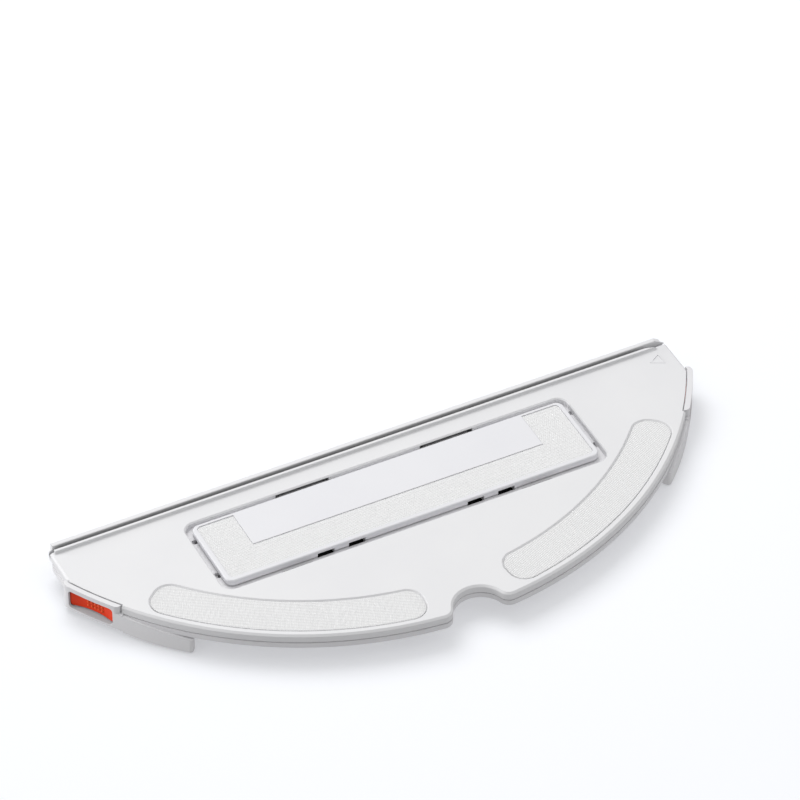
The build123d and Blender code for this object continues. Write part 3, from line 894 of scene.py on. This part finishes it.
@dataclass(kw_only=True)
class CrescentPad(TapePad):
    """Crescent of hook tape near the round rim, on one side."""

    side: Side
    floor: float = 14.5
    inner: float = 149.4
    outer: float = 166.4
    start: float = 7.33
    end: float = 49.844
    corner: float = 7.1
    step: float = 0.23
    rib_turn: float = 23.5
    fray_depth: float = 0.1
    fray_rates: tuple[float, float, float] = (6.9, 1.3, 2.1)
    fray_power: int = 12

    def stations(self, length: float) -> np.ndarray:
        """Space the pad's columns, closer where its round ends turn.

        Args:
            length: The pad's length along its middle line.

        Returns:
            The columns' places along that line.
        """
        turn = np.linspace(0, math.pi / 2, math.ceil(self.corner * math.pi / 2 / self.step))
        rounded = self.corner * (1 - np.cos(turn))
        run = length - 2 * self.corner
        straight = np.linspace(self.corner, length - self.corner, math.ceil(run / self.step))
        return np.concatenate([rounded, straight[1:-1], (length - rounded)[::-1]])

    def build(self) -> bpy.types.Object:
        """Shape a grid into the crescent, raise its pile and close its back.

        Returns:
            The finished pad.
        """
        middle = (self.inner + self.outer) / 2
        length = math.radians(self.end - self.start) * middle
        stations = self.stations(length)
        rows = math.ceil((self.outer - self.inner) / self.step)
        piece = new_grid(f"{self.side.word}_crescent_tape", len(stations) - 1, rows)
        grid = points_of(piece)
        column = np.round((grid[:, 0] + 0.5) * (len(stations) - 1)).astype(int)
        travel = stations[column]
        from_end = np.minimum(travel, length - travel)
        short = np.maximum(self.corner - from_end, 0)
        cut = self.corner - np.sqrt(np.maximum(self.corner**2 - short**2, 0))
        half = (self.outer - self.inner) / 2 - cut
        rate, swing, slow = self.fray_rates
        wave = self.fray_depth * np.sin(travel * rate + swing * np.sin(travel * slow))
        fray = wave * np.abs(2 * grid[:, 1]) ** self.fray_power
        radius = middle + 2 * grid[:, 1] * (half + fray)
        bearing = math.radians(self.start) + travel / middle
        flat = np.zeros_like(grid)
        flat[:, 0] = self.side.value * radius * np.sin(bearing) * MM
        flat[:, 1] = (RIM_CENTRE_Y - radius * np.cos(bearing)) * MM
        move_points(piece, flat)
        edge = np.minimum(half - np.abs(2 * grid[:, 1]) * half, from_end)
        self.finish(piece, PileWeave(turn=self.side.value * self.rib_turn), edge)
        return piece

    def dress(self, piece: bpy.types.Object) -> None:
        """Give the pad its tape finish and seat it in the cover.

        Args:
            piece: The finished pad.
        """
        dress(piece, RIBBED_TAPE_WHITE)
        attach(piece, "chassis")
        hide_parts(f"{self.side.word}_hook_pad")


@dataclass(kw_only=True)
class ScrubTape(TapePad):
    """U-shaped hook tape on the scrub plate, open towards the straight edge."""

    floor: float = 15.1
    side: float = 87.3
    front: float = 4.661
    back: float = 39.061
    arm: float = 17.4
    bar: float = 14.5
    corner: float = 1.9
    step: float = 0.24
    rib_pitch: float = 0.86
    loop_pitch: float = 1.02

    @property
    def inner(self) -> float:
        """Half the width of the U's opening."""
        return self.side - self.arm

    @property
    def fold(self) -> float:
        """Where the U's bar ends and its arms begin, along Y."""
        return self.front + self.bar

    def run(self, start: float, end: float) -> np.ndarray:
        """Even places from start to end, no further apart than the step."""
        return np.linspace(start, end, math.ceil((end - start) / self.step) + 1)

    def build(self) -> bpy.types.Object:
        """Shape a grid into the U, raise its pile and close its back.

        Returns:
            The finished pad.
        """
        arm_run = self.run(self.inner, self.side)
        xs = np.concatenate([-arm_run[::-1], self.run(-self.inner, self.inner)[1:-1], arm_run])
        ys = np.concatenate([self.run(self.front, self.fold), self.run(self.fold, self.back)[1:]])
        piece = new_grid("scrub_tape", len(xs) - 1, len(ys) - 1)
        grid = points_of(piece)
        x = xs[np.round((grid[:, 0] + 0.5) * (len(xs) - 1)).astype(int)]
        y = ys[np.round((grid[:, 1] + 0.5) * (len(ys) - 1)).astype(int)]
        move_points(piece, np.stack([x, y, np.zeros_like(x)], axis=1) * MM)
        centres = faces_of(piece, "center") / MM
        edit_faces(piece, (np.abs(centres[:, 0]) < self.inner) & (centres[:, 1] > self.fold))
        bpy.ops.mesh.delete(type="FACE")
        end_edit()
        points = points_of(piece) / MM
        edge = self.from_edge(points)
        move_points(piece, self.rounded(points) * MM)
        weave = PileWeave(rib_pitch=self.rib_pitch, loop_pitch=self.loop_pitch, stagger=True)
        self.finish(piece, weave, edge)
        return piece

    def from_edge(self, points: np.ndarray) -> np.ndarray:
        """Measure how far each plan point is from the U's cut edge.

        Args:
            points: Plan points in millimetres.

        Returns:
            The distances in millimetres.
        """
        x, y = np.abs(points[:, 0]), points[:, 1]
        to_ends = np.minimum(y - self.front, self.back - y)
        in_arm = x >= self.inner - SAME_PLACE
        to_gap = np.where(in_arm, np.where(y > self.fold, x - self.inner, np.inf), np.abs(self.fold - y))
        return np.minimum(np.minimum(self.side - x, to_ends), to_gap)

    def rounded(self, points: np.ndarray) -> np.ndarray:
        """Round the U's four outer corners.

        Args:
            points: Plan points in millimetres.

        Returns:
            The points with those near a corner drawn in.
        """
        middle = (self.front + self.back) / 2
        reach_x = self.side - self.corner
        reach_y = (self.back - self.front) / 2 - self.corner
        over_x = (np.abs(points[:, 0]) - reach_x) / self.corner
        over_y = (np.abs(points[:, 1] - middle) - reach_y) / self.corner
        near = (over_x > 0) & (over_y > 0)
        scale = np.maximum(over_x, over_y) / np.maximum(np.hypot(over_x, over_y), LEAST_LENGTH)
        sign_x, sign_y = np.sign(points[:, 0]), np.sign(points[:, 1] - middle)
        new = points.copy()
        new[near, 0] = (sign_x * (reach_x + over_x * scale * self.corner))[near]
        new[near, 1] = (middle + sign_y * (reach_y + over_y * scale * self.corner))[near]
        return new

    def dress(self, piece: bpy.types.Object) -> None:
        """Give the pad its tape finish and seat it on the plate.

        Args:
            piece: The finished pad.
        """
        dress(piece, LOOPED_TAPE_WHITE)
        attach(piece, "scrub_unit")
        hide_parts("scrub_pad")


@dataclass
class SlotMark:
    """Plain triangle outline raised on the cover, pointing across the cloth slot."""

    corners: tuple[tuple[float, float], ...] = ((136.9, 45.07), (143.2, 41.77), (142.9, 48.67))
    heights: tuple[float, ...] = (0.14, 0.14, 0.32)
    face_z: float = 15.5
    stroke: float = 0.42
    sink: float = 0.05
    edge: float = 0.07

    def build(self) -> bpy.types.Object:
        """Draw the triangle on the face, inset its outline, extrude that and round its edges.

        Returns:
            The mark.
        """
        clear_selection()
        bpy.ops.mesh.primitive_circle_add(vertices=len(self.corners), radius=MM, fill_type="NGON")
        piece = bpy.context.object
        piece.name = piece.data.name = "slot_mark"
        corners = np.array([(x, y, self.face_z - self.sink) for x, y in self.corners])
        move_points(piece, corners * MM)
        begin_edit(piece, "FACE")
        bpy.ops.mesh.select_all(action="SELECT")
        bpy.ops.mesh.inset(thickness=self.stroke * MM)
        bpy.ops.mesh.delete(type="FACE")
        end_edit()
        extrude_all(piece, (0, 0, MM))
        points = points_of(piece) / MM
        nearest = np.argmin(np.linalg.norm(points[:, None, :2] - corners[None, :, :2], axis=2), axis=1)
        raised = points[:, 2] > self.face_z
        points[raised, 2] = self.face_z + np.array(self.heights)[nearest[raised]]
        move_points(piece, points * MM)
        mend_normals(piece)
        round_edges(piece, self.edge, 40)
        smooth(piece, 40)
        return piece

    def dress(self, piece: bpy.types.Object) -> None:
        """Give the mark the cover's plastic and fix it to the cover.

        Args:
            piece: The finished mark.
        """
        dress(piece, WHITE_COVER)
        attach(piece, "chassis")


@dataclass
class ScrewSet:
    """Pan-head screws with a cross recess, driven upwards into one moulding, each turned a little further."""

    node: str
    body: str
    places: tuple[tuple[float, float], ...]
    head_z: float
    head_radius: float = 2.6
    head_height: float = 0.9
    head_edge: float = 0.3
    shank_radius: float = 1.0
    shank_length: float = 5.0
    point_length: float = 0.8
    point_share: float = 0.25
    recess_width: float = 0.75
    recess_length: float = 2.9
    recess_depth: float = 0.55
    sides: int = 32
    first_turn: float = 0.7
    next_turn: float = 1.1

    def one(self) -> bpy.types.Object:
        """Model one screw at the origin, its head's top at height 0 and its point upwards.

        Returns:
            The screw.
        """
        clear_selection()
        bpy.ops.mesh.primitive_cylinder_add(vertices=self.sides, radius=self.head_radius * MM,
                                            depth=self.head_height * MM,
                                            location=(0, 0, self.head_height / 2 * MM))
        screw = bpy.context.object
        bpy.ops.object.transform_apply(location=True)
        edit_faces(screw, faces_of(screw, "normal")[:, 2] > UPWARD)
        bpy.ops.mesh.inset(thickness=(self.head_radius - self.shank_radius) * MM)
        for length in (self.shank_length - self.point_length, self.point_length):
            bpy.ops.mesh.extrude_region_move(TRANSFORM_OT_translate={"value": (0, 0, length * MM)})
        bpy.ops.transform.resize(value=(self.point_share, self.point_share, 1), center_override=(0, 0, 0))
        end_edit()
        round_edges(screw, self.head_edge, 60, segments=3)
        bars = [(self.recess_length, self.recess_width), (self.recess_width, self.recess_length)]
        cutters = [self.recess_bar(*bar) for bar in bars]
        for cutter in cutters:
            apply_modifier(screw, "BOOLEAN", operation="DIFFERENCE", object=cutter, solver="EXACT")
        for cutter in cutters:
            bpy.data.objects.remove(cutter)
        return screw

    def recess_bar(self, length: float, width: float) -> bpy.types.Object:
        """Add one bar that cuts half of the cross recess.

        Args:
            length: The bar's size along X.
            width: The bar's size along Y.

        Returns:
            The bar.
        """
        clear_selection()
        bpy.ops.mesh.primitive_cube_add(size=1, location=(0, 0, 0))
        bar = bpy.context.object
        bar.scale = (length * MM, width * MM, 2 * self.recess_depth * MM)
        bpy.ops.object.transform_apply(scale=True)
        return bar

    def build(self) -> bpy.types.Object:
        """Copy the screw to every place and join the copies.

        Returns:
            The screws as one piece.
        """
        pattern = self.one()
        copies = []
        for number, (x, y) in enumerate(self.places):
            turn = Matrix.Rotation(self.first_turn + self.next_turn * number, 4, "Z")
            copies.append(own_copy(pattern, Matrix.Translation((x * MM, y * MM, self.head_z * MM)) @ turn))
        bpy.data.objects.remove(pattern)
        piece = joined(copies, f"{self.node}_cross_head")
        smooth(piece, 40)
        return piece

    def dress(self, piece: bpy.types.Object) -> None:
        """Give the screws their steel and fix them to their body.

        Args:
            piece: The finished screws.
        """
        dress(piece, SCREW_STEEL)
        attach(piece, self.body)
        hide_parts(self.node)


@dataclass
class ButtonFrame:
    """Where a release button lies: its bearing about the rim's centre, on one side."""

    side: Side
    bearing: float = 57.987

    def matrix(self) -> Matrix:
        """Work out the matrix from the button's own frame, +X outwards, to the bracket's frame.

        Returns:
            The matrix, mirrored for the left.
        """
        turn = Matrix.Rotation(math.radians(self.bearing - 90), 4, "Z")
        place = Matrix.Translation((0, RIM_CENTRE_Y * MM, 0)) @ turn
        mirror = Matrix.Scale(-1, 4, (1, 0, 0)) if self.side is Side.LEFT else Matrix.Identity(4)
        return mirror @ place


@dataclass
class ButtonFace:
    """Gently hollowed finger pad on a release button, with rounded corners."""

    side: Side
    face_x: float = 169.98
    half: float = 10.6
    hollow: float = 1.7
    low: float = 4.5
    high: float = 12.6
    corner: float = 1.6
    edge: float = 0.12
    seat_x: float = 193.552
    seat_radius: float = 25.952
    seat_sink: float = 0.1
    columns: int = 36
    rows: int = 14

    @property
    def radius(self) -> float:
        """Radius of the hollow in plan."""
        return (self.half**2 + self.hollow**2) / (2 * self.hollow)

    @property
    def axis_x(self) -> float:
        """How far out the hollow's axis lies, in the button's frame."""
        return self.face_x - self.hollow + self.radius

    def build(self) -> bpy.types.Object:
        """Lay a grid on the button's own scoop and raise its outer face to the gentler hollow.

        Returns:
            The finger pad.
        """
        piece = new_grid(f"{self.side.word}_button_face", self.columns, self.rows)
        grid = points_of(piece)
        tall = (self.high - self.low) / 2
        y = 2 * self.half * grid[:, 0]
        drawn = np.maximum(np.abs(y) - (self.half - self.corner), 0.0)
        z = 2 * grid[:, 1] * (tall - self.corner + np.sqrt(np.maximum(self.corner**2 - drawn**2, 0.0)))
        points = np.stack([np.zeros_like(y), y, z + (self.low + self.high) / 2], axis=1)
        move_points(piece, points * MM)
        extrude_all(piece, (MM, 0, 0))
        points = points_of(piece) / MM
        outer = points[:, 0] > 0.5
        seat = self.seat_x - np.sqrt(self.seat_radius**2 - points[:, 1] ** 2) - self.seat_sink
        face = self.axis_x - np.sqrt(self.radius**2 - points[:, 1] ** 2)
        points[:, 0] = np.where(outer, face, seat)
        move_points(piece, points * MM)
        piece.data.transform(ButtonFrame(self.side).matrix())
        mend_normals(piece)
        round_edges(piece, self.edge, 60)
        smooth(piece, 45)
        return piece

    def dress(self, piece: bpy.types.Object) -> None:
        """Give the pad the button's plastic and let it ride on the button.

        Args:
            piece: The finished finger pad.
        """
        dress(piece, BUTTON_ORANGE)
        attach(piece, f"{self.side.word}_button")


@dataclass
class ButtonGrips:
    """Two rows of small round bumps on a button's finger pad."""

    side: Side
    columns: tuple[float, ...] = (-4.3, -2.5, -0.75, 1.0, 2.8)
    rows: tuple[float, ...] = (6.9, 8.9)
    bump_radius: float = 0.7
    bump_height: float = 0.62
    root: float = 0.12

    def bump(self) -> bpy.types.Object:
        """Model one flattened dome at the origin, its root a little below.

        Returns:
            The bump.
        """
        clear_selection()
        bpy.ops.mesh.primitive_uv_sphere_add(segments=16, ring_count=10, radius=self.bump_radius * MM)
        piece = bpy.context.object
        begin_edit(piece)
        bpy.ops.mesh.select_all(action="SELECT")
        bpy.ops.mesh.bisect(plane_co=(0, 0, -self.root * MM), plane_no=(0, 0, 1), clear_inner=True,
                            use_fill=True)
        bpy.ops.mesh.select_all(action="SELECT")
        bpy.ops.transform.resize(value=(1, 1, self.bump_height / self.bump_radius), center_override=(0, 0, 0))
        end_edit()
        return piece

    def build(self) -> bpy.types.Object:
        """Copy the bump over the finger pad and join the copies.

        Returns:
            The bumps as one piece.
        """
        pattern = self.bump()
        frame_matrix = ButtonFrame(self.side).matrix()
        face = ButtonFace(self.side)
        copies = []
        for y in self.columns:
            x = face.axis_x - math.sqrt(face.radius**2 - y**2)
            outward = Vector((face.axis_x - x, -y, 0)).normalized()
            lay = outward.to_track_quat("Z", "Y").to_matrix().to_4x4()
            for z in self.rows:
                place = Matrix.Translation((x * MM, y * MM, z * MM)) @ lay
                copies.append(own_copy(pattern, frame_matrix @ place))
        bpy.data.objects.remove(pattern)
        piece = joined(copies, f"{self.side.word}_button_grips")
        mend_normals(piece)
        smooth(piece, 50)
        return piece

    def dress(self, piece: bpy.types.Object) -> None:
        """Give the bumps the button's plastic, painted lighter as a highlight, and let them ride on the
        button.

        Args:
            piece: The finished bumps.
        """
        dress(piece, GRIP_HIGHLIGHT_ORANGE)
        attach(piece, f"{self.side.word}_button")


@dataclass
class BowSpring:
    """Bowed spring strip behind a release button."""

    side: Side
    stop_x: float = 139.9
    rise: float = 7.0
    chord: float = 14.0
    thickness: float = 0.4
    edge: float = 0.08
    low: float = 9.8
    high: float = 12.4
    travel: float = 3.0
    columns: int = 40
    rows: int = 3

    def build(self) -> bpy.types.Object:
        """Bow a flat strip and give it its thickness.

        Returns:
            The spring.
        """
        piece = new_grid(f"{self.side.word}_bow_spring", self.columns, self.rows)
        grid = points_of(piece)
        half = self.chord / 2 - self.thickness / 2
        bow = self.rise - self.thickness
        radius = (half**2 + bow**2) / (2 * bow)
        reach = math.asin(min(1.0, half / radius))
        turn = 2 * grid[:, 0] * (reach if bow <= half else math.pi - reach)
        points = np.zeros_like(grid)
        points[:, 0] = self.stop_x + self.thickness / 2 + bow - radius + radius * np.cos(turn)
        points[:, 1] = radius * np.sin(turn)
        points[:, 2] = (self.low + self.high) / 2 + grid[:, 1] * (self.high - self.low)
        move_points(piece, points * MM)
        apply_modifier(piece, "SOLIDIFY", thickness=self.thickness * MM, offset=0.0)
        round_edges(piece, self.edge, 50)
        piece.data.transform(ButtonFrame(self.side).matrix())
        mend_normals(piece)
        smooth(piece, 40)
        return piece

    def dress(self, piece: bpy.types.Object) -> None:
        """Give the spring its steel, fix it to the chassis in place of the CAD spring and give it a mesh of
        its own.

        Args:
            piece: The finished spring.
        """
        dress(piece, SPRING_STEEL)
        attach(piece, "chassis")
        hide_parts(f"{self.side.word}_button_spring")
        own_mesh(piece)


@dataclass
class FlexureLink:
    """Thin moulded blade with a round head at each end, between the carrier and its anchor.

    Its columns are spaced partly evenly and partly closer towards the heads, in the given shares.
    """

    side: Side
    row: str
    y: float
    inner_x: float = 68.5
    outer_x: float = 88.3
    head_radius: float = 1.6
    blade: float = 0.8
    root: float = 1.1
    root_swell: float = 0.25
    tip: float = 0.02
    low: float = 8.0
    high: float = 10.6
    columns: int = 72
    spacing: tuple[float, float] = (0.45, 0.55)

    def half_width(self, x: np.ndarray) -> np.ndarray:
        """Work out half the link's width along its length.

        Args:
            x: Places along the link.

        Returns:
            Half the width at each place.
        """
        half = np.full_like(x, self.blade / 2)
        inside = (x > self.inner_x) & (x < self.outer_x)
        for head in (self.inner_x, self.outer_x):
            off = np.abs(x - head)
            disc = np.sqrt(np.maximum(self.head_radius**2 - off**2, 0))
            swell = self.root_swell * np.exp(-(((off - self.head_radius) / self.root) ** 2))
            in_head = np.maximum(disc, np.where(inside, half, self.tip))
            in_blade = np.where(inside, np.maximum(half, self.blade / 2 + swell), half)
            half = np.where(off < self.head_radius, in_head, in_blade)
        return half

    def build(self) -> bpy.types.Object:
        """Shape a narrow grid into the link's plan and extrude it upwards.

        Returns:
            The link.
        """
        piece = new_grid(f"{self.row}_{self.side.word}_flexure_blade", self.columns, 2)
        grid = points_of(piece)
        low_x, high_x = self.inner_x - self.head_radius, self.outer_x + self.head_radius
        share = grid[:, 0] + 0.5
        even = low_x + share * (high_x - low_x)
        eased = (low_x + high_x) / 2 - np.cos(share * math.pi) * (high_x - low_x) / 2
        x = self.spacing[0] * even + self.spacing[1] * eased
        points = np.zeros_like(grid)
        points[:, 0] = self.side.value * x
        points[:, 1] = self.y + 2 * grid[:, 1] * self.half_width(x)
        points[:, 2] = self.low
        move_points(piece, points * MM)
        extrude_all(piece, (0, 0, (self.high - self.low) * MM))
        mend_normals(piece)
        smooth(piece, 40)
        return piece

    def dress(self, piece: bpy.types.Object) -> None:
        """Give the link its plastic in place of the CAD flexure, with its place baked into its mesh.

        Args:
            piece: The finished link.
        """
        dress(piece, LINK_GREY)
        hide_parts(f"{self.row}_{self.side.word}_flexure")
        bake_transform(piece)


# Studio, with lamps and the floor's reach in metres and small gaps in millimetres


@dataclass(frozen=True)
class SoftLamp:
    """Square area lamp aimed at the bracket."""

    name: str
    place: Place
    size: float
    power: float

    def hang(self) -> bpy.types.Object:
        """Add the lamp to the scene.

        Returns:
            The lamp.
        """
        light = bpy.data.lights.new(self.name, "AREA")
        light.size = self.size
        light.energy = self.power
        lamp = bpy.data.objects.new(self.name, light)
        lamp.location = self.place
        lamp.rotation_euler = (-Vector(self.place)).to_track_quat("-Z", "Y").to_euler()
        bpy.context.scene.collection.objects.link(lamp)
        return lamp


@dataclass
class Studio:
    """Pale floor, soft light and white surroundings."""

    window_light: SoftLamp = SoftLamp("window_light", (-0.1, 0.75, 1.35), 1.1, 10.6)
    side_light: SoftLamp = SoftLamp("side_light", (-1.3, 0.75, 0.22), 0.4, 9.0)
    fill_light: SoftLamp = SoftLamp("fill_light", (0.9, -0.7, 1.1), 1.2, 1.4)
    floor_reach: float = 12.0
    floor_drop: float = 0.1
    shade: Colour = (0.80, 0.815, 0.85)
    bounce_shade: Colour = (0.48, 0.48, 0.49)
    glow: float = 0.215
    under_gap: float = 20.0
    horizon: float = 0.27
    zenith: float = 0.78
    nadir: float = 0.7

    def build(self) -> None:
        """Add the floor, the lamps and the world."""
        floor = self.floor()
        self.window_light.hang()
        self.shield(floor, self.side_light.hang())
        self.fill_light.hang()
        self.world()

    def floor(self) -> bpy.types.Object:
        """Add a plain pale floor that turns white to the camera where no shadow falls.

        It is clear from below, and lets light from below reach what lies close over it.

        Returns:
            The floor.
        """
        clear_selection()
        bpy.ops.mesh.primitive_plane_add(size=self.floor_reach, location=(0, 0, -self.floor_drop * MM))
        floor = bpy.context.object
        floor.name = "studio_floor"
        material = bpy.data.materials.new("pale_floor")
        material.use_nodes = True
        bench = NodeBench(material.node_tree)
        bench.tree.nodes.clear()
        path = bench.add("ShaderNodeLightPath")
        lit = bench.add("ShaderNodeBsdfDiffuse", Color=opaque(self.shade))
        glow = bench.add("ShaderNodeEmission", Color=WHITE, Strength=self.glow)
        bright = bench.tree.nodes.new("ShaderNodeAddShader")
        bench.feed(bright, 0, lit.outputs[0])
        bench.feed(bright, 1, glow.outputs[0])
        plain = bench.add("ShaderNodeBsdfDiffuse", Color=opaque(self.bounce_shade))
        seen = bench.math("MAXIMUM", path.outputs["Is Camera Ray"], path.outputs["Is Glossy Ray"])
        seen = bench.math("MAXIMUM", seen, path.outputs["Is Transmission Ray"])
        above = self.mixed(bench, seen, plain, bright)
        near = bench.math("LESS_THAN", path.outputs["Ray Length"], self.under_gap * MM)
        soft = bench.math("MAXIMUM", path.outputs["Is Diffuse Ray"], path.outputs["Is Shadow Ray"])
        under = bench.add("ShaderNodeNewGeometry").outputs["Backfacing"]
        clear = bench.math("MAXIMUM", under, bench.math("MULTIPLY", near, soft))
        surface = self.mixed(bench, clear, above, bench.add("ShaderNodeBsdfTransparent"))
        bench.add("ShaderNodeOutputMaterial", Surface=surface.outputs[0])
        floor.data.materials.append(material)
        return floor

    def mixed(self, bench: NodeBench, share: object, first: bpy.types.Node,
              second: bpy.types.Node) -> bpy.types.Node:
        """Mix two shaders.

        Args:
            bench: The floor's node bench.
            share: How much of the second shader shows.
            first: The first shader's node.
            second: The second shader's node.

        Returns:
            The node that mixes them.
        """
        node = bench.tree.nodes.new("ShaderNodeMixShader")
        for socket, value in enumerate((share, first.outputs[0], second.outputs[0])):
            bench.feed(node, socket, value)
        return node

    def shield(self, floor: bpy.types.Object, lamp: bpy.types.Object) -> None:
        """Keep one low lamp's light off the floor, as a card under it does.

        Args:
            floor: The studio floor.
            lamp: The lamp that skims over it.
        """
        shaded = bpy.data.collections.new(f"{lamp.name}_shield")
        shaded.objects.link(floor)
        shaded.collection_objects[0].light_linking.link_state = "EXCLUDE"
        lamp.light_linking.receiver_collection = shaded

    def world(self) -> None:
        """Add surroundings that are white to the camera and a soft even light to the bracket."""
        world = bpy.data.worlds.new("studio_world")
        bpy.context.scene.world = world
        world.use_nodes = True
        bench = NodeBench(world.node_tree)
        bench.tree.nodes.clear()
        path = bench.add("ShaderNodeLightPath")
        way = bench.add("ShaderNodeTexCoord").outputs["Generated"]
        height = bench.add("ShaderNodeSeparateXYZ", Vector=way).outputs["Z"]
        above = bench.spread(height, (0.0, self.horizon), (1.0, self.zenith))
        below = bench.spread(height, (0.0, self.horizon), (-1.0, self.nadir))
        sky = bench.math("MAXIMUM", above, below)
        strength = bench.math("MAXIMUM", sky, path.outputs["Is Camera Ray"])
        back = bench.add("ShaderNodeBackground", Color=WHITE, Strength=strength)
        bench.add("ShaderNodeOutputWorld", Surface=back.outputs[0])


@dataclass
class ViewingCamera:
    """Long-lens camera at the photograph's viewing angle, its target and distance in millimetres."""

    target: Place = (0.0, 65.854, 15.5)
    azimuth: float = -25.989
    elevation: float = 42.478
    roll: float = -0.547
    distance: float = 2379.86
    lens: float = 245.45
    sensor: float = 36.0
    shift: tuple[float, float] = (0.0609, 0.0362)
    clip: tuple[float, float] = (0.05, 50.0)

    def build(self) -> None:
        """Add the camera and make it the scene's own."""
        turn, lift, tilt = (math.radians(v) for v in (self.azimuth, self.elevation, self.roll))
        back = Vector((math.sin(turn) * math.cos(lift), -math.cos(turn) * math.cos(lift), math.sin(lift)))
        right = (-back).cross(Vector((0, 0, 1))).normalized()
        up = right.cross(-back)
        level_right = math.cos(tilt) * right + math.sin(tilt) * up
        level_up = -math.sin(tilt) * right + math.cos(tilt) * up
        data = bpy.data.cameras.new("viewing_camera")
        data.lens = self.lens
        data.sensor_width = self.sensor
        data.shift_x, data.shift_y = self.shift
        data.clip_start, data.clip_end = self.clip
        camera = bpy.data.objects.new("viewing_camera", data)
        matrix = Matrix((level_right, level_up, back)).transposed().to_4x4()
        matrix.translation = (Vector(self.target) + back * self.distance) * MM
        camera.matrix_world = matrix
        bpy.context.scene.collection.objects.link(camera)
        bpy.context.scene.camera = camera


# The bracket

BODIES = (
    MouldedBody("face_cover", WHITE_COVER),
    MouldedBody("frame_shell", WHITE_SHELL),
    MouldedBody("scrub_plate", PLATE_WHITE),
    MouldedBody("drive_carrier", CARRIER_BLACK),
    MouldedBody("left_release_button", BUTTON_ORANGE),
    MouldedBody("right_release_button", BUTTON_ORANGE),
    MouldedBody("detection_magnet", MAGNET_NICKEL),
)
RIGHT_SHELL_SCREWS = ((30.114, -42.548), (105.594, -4.944), (104.0, 43.861))
SHELL_SCREWS = tuple((sign * x, y) for sign in (1, -1) for x, y in RIGHT_SHELL_SCREWS)
PLATE_SCREWS = tuple((x, y) for x in (-56.0, 56.0) for y in (12.061, 31.061))
FLEXURE_ROWS = {"back": 34.661, "front": 11.761}


def main() -> None:
    """Build the bracket's pieces in order, then the studio and the camera."""
    logging.basicConfig(level=logging.INFO, format="%(name)s: %(message)s")
    bpy.context.scene.view_settings.view_transform = "Standard"
    for body in BODIES:
        body.dress()
    makers: list[PieceMaker] = [
        *(CrescentPad(side=side) for side in Side),
        ScrubTape(),
        SlotMark(),
        ScrewSet("shell_screws", "chassis", SHELL_SCREWS, head_z=7.4),
        ScrewSet("plate_screws", "scrub_unit", PLATE_SCREWS, head_z=7.9),
        *(ButtonFace(side) for side in Side),
        *(ButtonGrips(side) for side in Side),
        *(BowSpring(side) for side in Side),
        *(FlexureLink(side, row, y) for side in Side for row, y in FLEXURE_ROWS.items()),
    ]
    for maker in makers:
        piece = maker.build()
        maker.dress(piece)
        LOG.info("%s built with %d faces", piece.name, len(piece.data.polygons))
    Studio().build()
    ViewingCamera().build()
    clear_selection()


if __name__ == "__main__":
    main()
